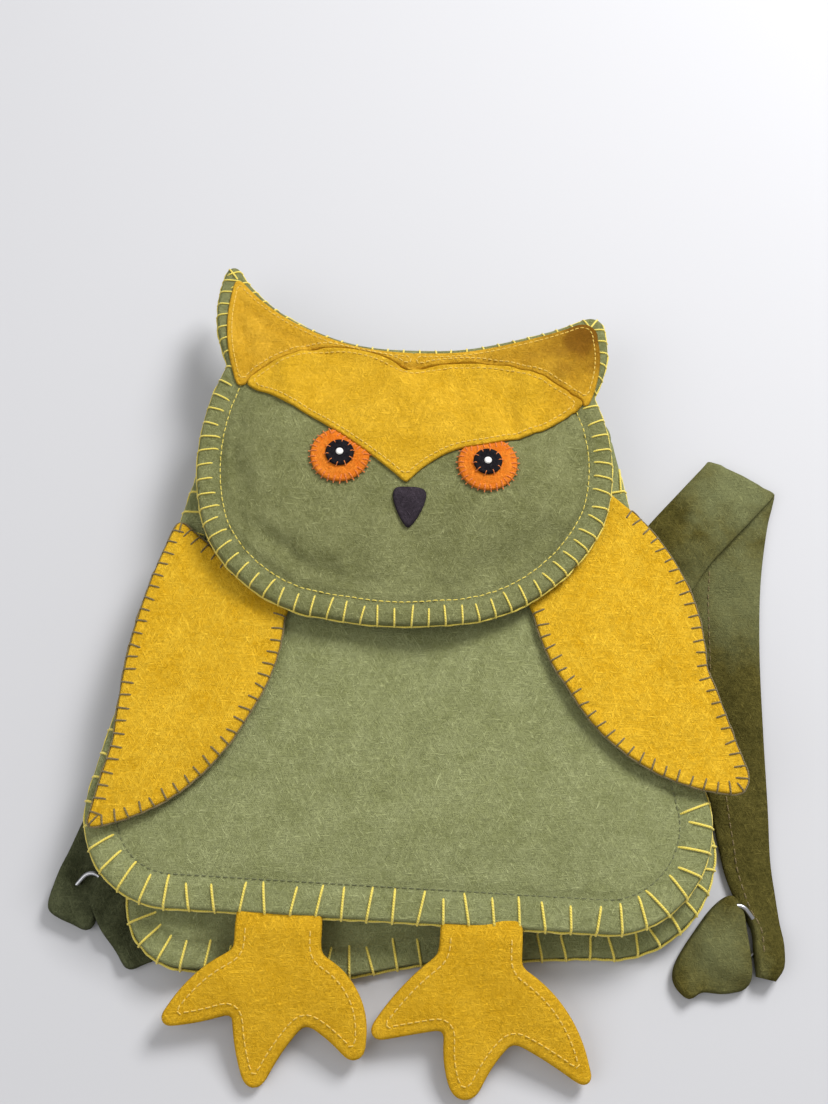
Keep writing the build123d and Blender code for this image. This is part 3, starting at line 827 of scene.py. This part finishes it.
# %% Seams of the bag
front_edge_stitches = blanket("front_seam_stitches", front_felt, lower_path(front_ring, 420),
                              np.full(420, front_low[2]) + border_wave(*lower_path(front_ring, 420).T, np.zeros(420)),
                              lemon_yarn, 11.2, 13.2, radius=0.62, seed=3, slant=0.2, closed=False,
                              inward=-outward_of(lower_path(front_ring, 420)))
back_path = lower_path(back_ring, 420)
back_edge_stitches = blanket("back_seam_stitches", gusset_felt, back_path, side_lift(back_path[:, 0]) + felt,
                             lemon_yarn, 10.8, 12.6, radius=0.62, seed=11, slant=0.22, closed=False,
                             inward=-outward_of(back_path))
front_machine_line = topstitch("front_machine_line", front_felt, lower_path(inset(front_ring, seam_border), 500),
                               green_thread, closed=False)


# %% [markdown]
# ## The head
# The lid is two felts with a thin wadding, sewn along a line inside the border. Air pressure in a
# short cloth simulation puffs the middle, while the border stays pinned by the stitches.

# %% Head pad
head_ring = ring_of("head_front")
head_low, head_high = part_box("head_lining")[0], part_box("head_front")[1]
head_border = 11.3 * mm
fold_y = band_high[1]


def head_droop(x, y):
    tips = 7.0 * mm * smooth((y - fold_y) / (62 * mm))
    sides = 1.6 * mm * smooth((np.abs(x + 5 * mm) - 70 * mm) / (40 * mm)) * (1 - smooth((y - 100 * mm) / (30 * mm)))
    return tips + sides - 0.9 * mm * ripple(x, y, 70 * mm, 31)


def head_top(x, y, d):
    dome = 1.2 * mm * smooth((d - head_border) / (30 * mm))
    puffed_border = 0.6 * mm * np.sin(np.pi * np.clip(d / head_border, 0, 1))
    return head_high[2] - head_droop(x, y) + dome + puffed_border - groove(d, head_border, 1.6 * mm, 1.4 * mm)


head_pad = felt_piece("head_pad", head_ring, head_top, lambda x, y, d: head_low[2] - head_droop(x, y),
                      step=3.2 * mm, edge=1.6 * mm, wall=((0.3, 0.35), (0.5, -0.35), (0.7, 0.35)), material=lid_green)


# %% Puffing by cloth simulation
def puff(obj, ring, border, most_up, most_down, pressure=4.0):
    """Blows the piece up inside its sewn line. A point moves up or down only as far as the caps."""
    mesh = obj.data
    before = np.array([tuple(v.co) for v in mesh.vertices])
    d = edge_distance(before[:, :2], ring)
    d[~is_inside(before[:, :2], ring)] = 0
    sewn = obj.vertex_groups.new(name="sewn")
    sewn.add([int(i) for i in np.flatnonzero(d < border + 0.5 * mm)], 1.0, "REPLACE")
    cloth = obj.modifiers.new("cloth", "CLOTH")
    settings = cloth.settings
    settings.quality = 5
    settings.mass = 0.15
    settings.tension_stiffness = settings.compression_stiffness = 12
    settings.shear_stiffness = 6
    settings.bending_stiffness = 0.6
    settings.use_pressure = True
    settings.uniform_pressure_force = pressure
    settings.vertex_group_mass = "sewn"
    settings.pin_stiffness = 1
    settings.shrink_min = -0.035
    settings.effector_weights.gravity = 0
    cloth.point_cache.frame_start, cloth.point_cache.frame_end = 1, 20
    for number in range(1, 21):
        bpy.context.scene.frame_set(number)
    graph = bpy.context.evaluated_depsgraph_get()
    solved = obj.evaluated_get(graph).to_mesh()
    after = np.array([tuple(v.co) for v in solved.vertices])
    obj.evaluated_get(graph).to_mesh_clear()
    obj.modifiers.clear()
    obj.vertex_groups.clear()
    bpy.context.scene.frame_set(1)
    move = after - before
    rise = move[:, 2]
    move[:, 2] = np.where(rise > 0, most_up * np.tanh(rise / most_up), most_down * np.tanh(rise / most_down))
    move[:, :2] = np.clip(move[:, :2], -1.5 * mm, 1.5 * mm)
    mesh.vertices.foreach_set("co", (before + move).astype(np.float32).ravel())
    mesh.update()
    print(obj.name, "puffed by at most", round(float(move[:, 2].max() / mm), 2), "mm")


puff(head_pad, head_ring, head_border, 5.0 * mm, 0.4 * mm)

# %% Stitches of the head
head_machine_line = topstitch("head_machine_line", head_pad, inset(head_ring, head_border), lemon_yarn, radius=0.3)
head_edge_stitches = blanket("head_edge_stitches", head_pad, head_ring, finished["head_pad"]["middle"], lemon_yarn,
                             8.1, 9.0, radius=0.5, seed=5, slant=0.16)

# %% [markdown]
# ## Face pieces
# The brow, ear patches, eyes and beak are thin felts sewn flat on the head. Each takes its height
# from the puffed head below it.

# %% Pieces laid on the head
on_head = height_over(head_pad)


def laid_on(height, thickness, crown=0.3 * mm, sink=0.25 * mm):
    def top(x, y, d):
        return height(x, y) + thickness + crown * smooth(d / (6 * mm))

    def bottom(x, y, d):
        return height(x, y) - sink
    return top, bottom


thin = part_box("brow")[1][2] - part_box("brow")[0][2]
brow = felt_piece("brow_felt", ring_of("brow", 1.2 * mm, 3), *laid_on(on_head, thin), step=2.4 * mm, edge=0.8 * mm,
                  material=brow_yellow)
brow_line = topstitch("brow_topstitch", brow, inset(ring_of("brow"), 2.6 * mm), yellow_thread,
                      spacing=2.9, stitch=2.2)
patches = {}
for name in ("left_ear_patch", "right_ear_patch"):
    ring = ring_of(name, 1.2 * mm, 3)
    if name == "left_ear_patch":
        ring = ring + np.column_stack([3 * mm * smooth((ring[:, 0] + 11 * mm) / (5 * mm)), np.zeros(len(ring))])
    patches[name] = felt_piece(name + "_felt", ring, *laid_on(on_head, thin * 0.8), step=2.4 * mm, edge=0.7 * mm,
                               material=ear_yellow)
    patches[name + "_line"] = topstitch(name + "_topstitch", patches[name], inset(ring, 2.4 * mm), yellow_thread,
                                        spacing=2.9, stitch=2.2)
eye_parts = {}
for name in ("left", "right"):
    eye_ring = ring_of(f"{name}_eye", 0.9 * mm, 1)
    eye = felt_piece(f"{name}_eye_felt", eye_ring, *laid_on(on_head, thin, 0.5 * mm), step=1.5 * mm, edge=0.8 * mm,
                     material=orange_felt)
    on_eye = height_over(eye)
    pupil = felt_piece(f"{name}_pupil_felt", ring_of(f"{name}_pupil", 0.7 * mm, 1), *laid_on(on_eye, 1.5 * mm, 0.3 * mm),
                       step=1.3 * mm, edge=0.7 * mm, material=pupil_felt)
    glint = felt_piece(f"{name}_glint_knot", ring_of(f"{name}_eye_glint", 0.4 * mm, 1),
                       *laid_on(height_over(pupil), 0.5 * mm, 0.5 * mm), step=0.6 * mm, edge=0.4 * mm,
                       material=white_yarn)
    whip = blanket(f"{name}_eye_stitches", eye, eye_ring, on_head(*eye_ring.T) + 0.8 * mm, orange_thread, 3.1, 2.9,
                   radius=0.3, overhang=0.45, slant=0.25, purl=0.0, seed=23)
    pupil_ring = ring_of(f"{name}_pupil", 0.9 * mm, 1)
    around_pupil = blanket(f"{name}_pupil_stitches", pupil, pupil_ring, on_eye(*pupil_ring.T) + 0.6 * mm,
                           orange_thread, 4.4, 1.5, radius=0.22, overhang=0.7, slant=0.3, purl=0.0, seed=29)
    eye_parts[name] = (eye, pupil, glint, whip, around_pupil)
beak = felt_piece("beak_felt", ring_of("beak", 0.9 * mm, 1), *laid_on(on_head, thin, 0.9 * mm), step=1.4 * mm,
                  edge=0.9 * mm, material=dark_felt)

# %% [markdown]
# ## Wings and feet
# The wings are single felts that start under the head's border, and the feet are double felts
# whose stems go into the bag's seam. They bend along their roots.

# %% Wings
wings = {}
wing_low, wing_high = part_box("left_wing")
for name, curl_seed in (("left", 41), ("right", 43)):
    joint = next(j for j in frame["record"]["behaviour"]["joints"] if j["name"] == f"{name}_wing_lift")
    root = np.array(joint["pos_m"][:2])
    chord = np.array(joint["axis"][:2])
    chord /= np.linalg.norm(chord)
    ring = ring_of(f"{name}_wing")
    away = np.array([-chord[1], chord[0]])
    away *= np.sign(away @ (root - ring.mean(0)))
    beyond = (ring - root) @ away
    inner = (ring - root) @ chord * np.sign(-root[0] * chord[0])
    reach = 16 * mm * (1 - 0.8 * smooth(inner / (32 * mm)))
    ring = even_ring(ring + away * (reach * smooth((beyond + 2.5 * mm) / (3 * mm)))[:, None], 1.6 * mm)

    def wing_lie(x, y):
        points = np.column_stack([x, y])
        d = np.where(is_inside(points, front_ring), edge_distance(points, front_ring), 0)
        free = smooth(-((points - root) @ away) / (95 * mm))
        tip_drop = 1.6 * mm * smooth(edge_distance(points, front_ring) / (14 * mm)) * (d == 0)
        return (front_swell(x, y, d) + 0.6 * mm + 1.5 * mm * free + 0.9 * mm * ripple(x, y, 48 * mm, curl_seed) * free
                - tip_drop)

    def wing_edge_curl(x, y, d):
        return 1.3 * mm * np.exp(-d / (6 * mm)) * smooth(-((np.column_stack([x, y]) - root) @ away) / (40 * mm))

    wing = felt_piece(f"{name}_wing_felt", ring,
                      lambda x, y, d: wing_high[2] + wing_lie(x, y) + wing_edge_curl(x, y, d),
                      lambda x, y, d: wing_low[2] + wing_lie(x, y) + wing_edge_curl(x, y, d),
                      step=2.4 * mm, material=yellow_felt)
    free_side = (ring - root) @ away < -1 * mm
    first = next(i for i in range(len(ring)) if free_side[i] and not free_side[i - 1])
    order = (np.arange(free_side.sum()) + first) % len(ring)
    stitches = blanket(f"{name}_wing_stitches", wing, ring[order], finished[f"{name}_wing_felt"]["middle"][order],
                       olive_yarn, 6.1, 5.4, radius=0.42, seed=61 + curl_seed, slant=0.16, closed=False,
                       inward=-outward_of(ring)[order])
    wings[name] = (wing, stitches, root, away)

# %% Feet
feet = {}
for name in ("left", "right"):
    joint = next(j for j in frame["record"]["behaviour"]["joints"] if j["name"] == f"{name}_foot_lift")
    hinge_x, hinge_y, hinge_z = joint["pos_m"]
    back_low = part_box(f"{name}_foot_back")[0]
    ply = 2.5 * mm
    fall = (hinge_z - back_low[2] - ply) / (hinge_y - back_low[1])
    ring = ring_of(f"{name}_foot_front", 1.4 * mm)
    stem = 11 * mm * smooth((ring[:, 1] - hinge_y + 5 * mm) / (3 * mm))
    ring = even_ring(np.column_stack([ring[:, 0], ring[:, 1] + stem]), 1.4 * mm)

    def lie(x, y):
        return (np.minimum(hinge_z - fall * (hinge_y - y), hinge_z + 0.4 * mm)
                + 0.6 * mm * ripple(x, y, 40 * mm, 71) * smooth((hinge_y - y) / (20 * mm)) + 0.5 * mm)

    front = felt_piece(f"{name}_foot_felt_front", ring,
                       lambda x, y, d: lie(x, y) + ply + 0.5 * mm * smooth(d / (8 * mm)),
                       lambda x, y, d: lie(x, y), step=2.4 * mm, edge=1.1 * mm, material=foot_yellow)
    back_side = felt_piece(f"{name}_foot_felt_back", even_ring(ring, 1.4 * mm),
                           lambda x, y, d: lie(x, y) - 0.1 * mm,
                           lambda x, y, d: np.maximum(lie(x, y) - ply, 0.3 * mm), step=3 * mm, edge=1.1 * mm,
                           material=foot_yellow)
    line_ring = inset(ring, 4.6 * mm)
    line = open_part(line_ring, line_ring[:, 1] < hinge_y + 1 * mm)
    line = topstitch(f"{name}_foot_topstitch", front, line, yellow_thread, closed=False, radius=0.32)
    feet[name] = (front, back_side, line, (hinge_x, hinge_y, hinge_z))


# %% [markdown]
# ## Straps, tabs and rings
# Each strap is a flat padded band. The right one comes out from under the head, folds over and
# runs down beside the bag to a wire ring, which a felt tab holds to the bag's lower corner.

# %% Ribbon helper
def ribbon(name, sections_mm, thickness, seam_at=None, crease=0.5, material=None, step=3.0, seed=3):
    """Lofts a band through sections (left x, left y, right x, right y, middle z, thickness), in millimetres."""
    keys = np.array([(*section, thickness)[:6] for section in sections_mm], float)
    padded_keys = np.vstack([2 * keys[0] - keys[1], keys, 2 * keys[-1] - keys[-2]])
    rows = []
    for k in range(len(keys) - 1):
        a, b, c, e = padded_keys[k:k + 4]
        run = np.linalg.norm(np.append((c - b)[:2] + (c - b)[2:4], 2 * (c - b)[4])) / 2
        for t in np.linspace(0, 1, max(3, int(run / step)), endpoint=False):
            rows.append(0.5 * (2 * b + (c - a) * t + (2 * a - 5 * b + 4 * c - e) * t ** 2
                               + (3 * b - a - 3 * c + e) * t ** 3))
    rows.append(keys[-1])
    rows = np.array(rows)
    left = np.column_stack([rows[:, 0:2], rows[:, 4]])
    right = np.column_stack([rows[:, 2:4], rows[:, 4]])
    middle = (left + right) / 2
    forward = np.gradient(middle, axis=0)
    forward /= np.linalg.norm(forward, axis=1)[:, None] + 1e-9
    across = right - left
    up = np.cross(across, forward)
    up /= np.linalg.norm(up, axis=1)[:, None] + 1e-9
    around = 36
    verts, faces = [], []
    length = np.concatenate([[0], np.cumsum(np.linalg.norm(np.diff(middle, axis=0), axis=1))])
    for i in range(len(rows)):
        for k in range(around):
            angle = 2 * math.pi * k / around
            u = math.copysign(abs(math.cos(angle)) ** 0.42, math.cos(angle))
            v = math.copysign(abs(math.sin(angle)) ** 0.8, math.sin(angle))
            wrinkle = crease * float(ripple(np.array([length[i] + 14 * u]), np.array([11.0 * u]), 21.0, seed)[0])
            wrinkle += 0.5 * crease * float(ripple(np.array([length[i]]), np.array([16.0 * u]), 9.0, seed + 1)[0])
            pinch = 0 if seam_at is None else 0.9 * math.exp(-((u - seam_at) / 0.07) ** 2)
            lift = (rows[i, 5] / 2 + min(wrinkle, 0.8) * (1 - abs(u) ** 4) * 0.8 - pinch) * v
            verts.append((middle[i] + across[i] / 2 * u + up[i] * lift) * mm)
    for i in range(len(rows) - 1):
        for k in range(around):
            n = (k + 1) % around
            faces.append((i * around + k, i * around + n, (i + 1) * around + n, (i + 1) * around + k))
    faces.append(tuple(range(around)))
    faces.append(tuple(len(verts) - around + k for k in range(around)))
    obj = mesh_object(name, verts, faces, material)
    bm = bmesh.new()
    bm.from_mesh(obj.data)
    bmesh.ops.triangulate(bm, faces=[f for f in bm.faces if len(f.verts) > 4])
    bmesh.ops.recalc_face_normals(bm, faces=bm.faces)
    bm.to_mesh(obj.data)
    bm.free()
    print(name, len(obj.data.polygons), "faces")
    return obj, left, right


# %% Straps
strap_right, strap_left_edge, strap_right_edge = ribbon(
    "right_strap_felt",
    [(112, 46, 140, 20, 7.4), (121, 58, 150, 36, 7.5), (137, 77, 169, 58, 7.6), (148, 90, 182, 73, 7.3),
     (151, 94, 185.2, 77, 5.0), (149.5, 89, 184.5, 72, 2.7), (143, 62, 181, 58, 2.5), (139.5, 30, 176.5, 28, 2.5),
     (139, -5, 174.5, -8, 2.5), (141.5, -45, 174.5, -48, 2.5), (147, -80, 175, -84, 2.5), (151, -103, 175, -108, 2.5),
     (154, -117, 176.5, -124, 2.5), (159, -129, 178, -137, 2.6, 4.8), (164.4, -139, 178.8, -147, 4.6, 8.6),
     (165, -150, 178.4, -156, 4.8, 9.0), (166, -160.5, 174.5, -162, 4.0, 7.5)],
    4.7, seam_at=-0.42, crease=1.3, material=strap_felt, seed=5)
left_strap_ring = curved_ring(
    [(-99, 28), (-110, 27), (-120, 16), (-128, -10), (-131, -40), (-134, -68), (-143, -92), (-151, -116), (-156, -134),
     (-158, -147), (-153, -151), (-146, -153.6), (-138, -156), (-135, -147), (-134, -128), (-123, -108),
     (-112, -88), (-105, -66), (-100, -40), (-98, 0)])


def round_ring(name, x, y, gap):
    """How far the felt rises to pass over its ring. It stays low at the gap where the wire shows."""
    centre = np.mean(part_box(f"{name}_ring"), axis=0)
    near = smooth((26 * mm - np.hypot(x - centre[0], y - centre[1])) / (9 * mm))
    return 3.4 * mm * near * smooth((np.hypot(x - gap[0] * mm, y - gap[1] * mm) - 4 * mm) / (5 * mm))


# The left strap takes the strap felt with painted shade.
strap_left = felt_piece("left_strap_felt", left_strap_ring,
                        lambda x, y, d: (5.0 * mm + 0.8 * mm * ripple(x, y, 18 * mm, 91) * smooth(d / (4 * mm))
                                         + round_ring("left", x, y, (-143, -131))),
                        lambda x, y, d: 0 * x + 0.1 * mm, step=3 * mm, edge=2.2 * mm,
                        material=painted_shade_strap_felt)
seam_line = strap_left_edge * 0.71 + strap_right_edge * 0.29
seam_line = (seam_line * mm)[int(0.4 * len(seam_line)):-4, :2]
strap_seam = topstitch("right_strap_seam", strap_right, seam_line, olive_yarn, spacing=4.0, stitch=3.0, radius=0.34,
                       closed=False)

# %% Anchor tabs
tab_rings = {
    "right": curved_ring([(133, -151), (139, -142), (147, -131.5), (155, -125.5), (160, -129), (161.4, -139), (163, -162.5),
                          (153, -168), (141, -168), (135.6, -171.6), (129, -165), (129.4, -158)]),
    "left": curved_ring([(-134, -127), (-127, -134), (-120, -142), (-111, -151), (-104.6, -158), (-105.4, -166),
                         (-112, -169.4), (-118, -172), (-123, -166), (-128, -160), (-133, -154), (-139, -142),
                         (-140, -134)])}
tabs = {}
ring_gaps = {"right": (163, -126), "left": (-142, -131)}
# The left tab takes the strap felt with painted shade too.
for name, ring in tab_rings.items():
    tabs[name] = felt_piece(f"{name}_tab_felt", ring,
                            lambda x, y, d: (6.0 * mm + 0.8 * mm * ripple(x, y, 16 * mm, 93)
                                             + round_ring(name, x, y, ring_gaps[name])),
                            lambda x, y, d: 0 * x + 0.1 * mm, step=2.4 * mm, edge=1.3 * mm,
                            wall=((0.25, 0.4), (0.5, -0.5), (0.75, 0.4)),
                            material=strap_felt if name == "right" else painted_shade_strap_felt)

# %% [markdown]
# ## Metal
# The rings are bent from plated wire and the snap is pressed steel. Fine scratches and dull
# patches break up the shine.

# %% Wire metal
steel = bpy.data.materials.new("plated_wire")
steel.use_nodes = True
tree = steel.node_tree
surface = tree.nodes["Principled BSDF"]
place = add_node(tree, "ShaderNodeTexCoord").outputs["Object"]
dull = add_node(tree, "ShaderNodeTexNoise", {"Vector": place, "Scale": 260.0, "Detail": 4.0}).outputs["Fac"]
scratch = add_node(tree, "ShaderNodeTexNoise", {"Vector": place, "Scale": 2400.0, "Detail": 2.0}).outputs["Fac"]
metal_colour = add_node(tree, "ShaderNodeMix", {0: dull, 6: linear(146, 146, 150), 7: linear(206, 206, 210)},
                        data_type="RGBA").outputs[2]
shine = add_node(tree, "ShaderNodeMapRange", {"Value": dull, "To Min": 0.2, "To Max": 0.42}).outputs[0]
relief = add_node(tree, "ShaderNodeBump", {"Height": scratch, "Strength": 0.12, "Distance": 0.1 * mm}).outputs[0]
tree.links.new(metal_colour, surface.inputs["Base Color"])
tree.links.new(shine, surface.inputs["Roughness"])
tree.links.new(relief, surface.inputs["Normal"])
surface.inputs["Metallic"].default_value = 1.0
for node in ("left_ring", "right_ring", "snap_socket", "snap_stud", "snap_socket_washer", "snap_stud_washer"):
    metal = frame["nodes"][node].data
    metal.materials.clear()
    metal.materials.append(steel)

# %% [markdown]
# ## Which piece stands for which
# Bag pieces, and head pieces that stay below the fold, ride on their CAD bodies; the other soft
# pieces stay fixed in place. Soft pieces hide the CAD nodes they stand for.

# %% Bag pieces
for obj, node, slot in ((back_felt, "back_panel", "green_felt"), (front_felt, "front_panel", "green_felt"),
                        (gusset_felt, "gusset", "green_felt"), (band_felt, "top_band", "green_felt"),
                        (front_edge_stitches, "front_seam_yarn", "yellow_yarn"),
                        (back_edge_stitches, "back_seam_yarn", "yellow_yarn"),
                        (front_machine_line, None, "green_felt")):
    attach(obj, "bag")
    if node:
        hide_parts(node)
declare_sheet("back_felt")
declare_sheet("front_felt")

# %% Head pieces: those that reach past the fold, the ears among them, stay fixed in place; the rest ride on the head
fold_end = (0, float(fold_y) - 7 * mm, float(head_low[2]))
head_pieces = [(head_pad, ["head_front", "head_lining"], "green_felt"), (head_machine_line, [], "yellow_yarn"),
               (head_edge_stitches, ["head_edge_yarn"], "yellow_yarn"), (brow, ["brow"], "yellow_felt"),
               (brow_line, [], "yellow_yarn")]
for name in ("left_ear_patch", "right_ear_patch"):
    head_pieces += [(patches[name], [name], "yellow_felt"), (patches[name + "_line"], [], "yellow_yarn")]
for name, (eye, pupil, glint, whip, around_pupil) in eye_parts.items():
    head_pieces += [(eye, [f"{name}_eye"], "orange_felt"), (pupil, [f"{name}_pupil"], "pupil_felt"),
                    (glint, [f"{name}_eye_glint"], "white_yarn"), (whip, [], "orange_felt"),
                    (around_pupil, [], "orange_felt")]
head_pieces.append((beak, ["beak"], "dark_felt"))
for obj, nodes, slot in head_pieces:
    if max(v.co.y for v in obj.data.vertices) > fold_end[1]:
        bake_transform(obj)
    else:
        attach(obj, "head")
    if nodes:
        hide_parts(*nodes)
for name in ("brow_felt", "left_ear_patch_felt", "right_ear_patch_felt", "left_eye_felt", "right_eye_felt",
             "left_pupil_felt", "right_pupil_felt", "beak_felt"):
    declare_sheet(name)

# %% Wings, feet and straps
for name, (wing, stitches, root, away) in wings.items():
    for obj, node, slot in ((wing, f"{name}_wing", "yellow_felt"), (stitches, f"{name}_wing_yarn", "olive_yarn")):
        z = float(wing_high[2])
        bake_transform(obj)
        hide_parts(node)
    declare_sheet(f"{name}_wing_felt")
for name, (front, back_side, line, (x, y, z)) in feet.items():
    for obj, node in ((front, f"{name}_foot_front"), (back_side, f"{name}_foot_back"), (line, None)):
        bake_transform(obj)
        if node:
            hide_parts(node)
    declare_sheet(f"{name}_foot_felt_front")
    declare_sheet(f"{name}_foot_felt_back")
for obj, body, node in ((strap_right, "right_strap_loop", "right_strap"),
                        (strap_left, "left_strap_loop", "left_strap"), (strap_seam, "right_strap_loop", None),
                        (tabs["right"], "right_strap_loop", "right_tab"),
                        (tabs["left"], "left_strap_loop", "left_tab")):
    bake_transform(obj)
    if node:
        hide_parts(node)
declare_sheet("right_tab_felt")
declare_sheet("left_tab_felt")

# %% [markdown]
# ## Table and light
# A pale table, one large soft light from the upper right and a dim even fill.

# %% Table and light
bpy.ops.mesh.primitive_plane_add(size=4)
floor = bpy.context.object
floor.name = "table_top"
floor_look = bpy.data.materials.new("pale_table")
floor_look.use_nodes = True
floor_surface = floor_look.node_tree.nodes["Principled BSDF"]
floor_surface.inputs["Base Color"].default_value = linear(196, 196, 199)
floor_surface.inputs["Roughness"].default_value = 0.8
floor.data.materials.append(floor_look)


def soft_light(name, spot, size, power, tint=(1, 1, 1)):
    data = bpy.data.lights.new(name, "AREA")
    data.size, data.energy, data.color = size, power, tint
    lamp = bpy.data.objects.new(name, data)
    lamp.location = spot
    lamp.rotation_euler = (Vector((0, 0, 0)) - Vector(spot)).to_track_quat("-Z", "Y").to_euler()
    bpy.context.scene.collection.objects.link(lamp)


soft_light("window", (0.75, 0.95, 1.15), 0.6, 30)
soft_light("fill", (-1.0, -0.5, 1.3), 1.2, 7)
world = bpy.data.worlds.new("room")
world.use_nodes = True
world.node_tree.nodes["Background"].inputs["Color"].default_value = (1, 1, 1, 1)
world.node_tree.nodes["Background"].inputs["Strength"].default_value = 0.46
bpy.context.scene.world = world
bpy.context.scene.view_settings.view_transform = "Standard"
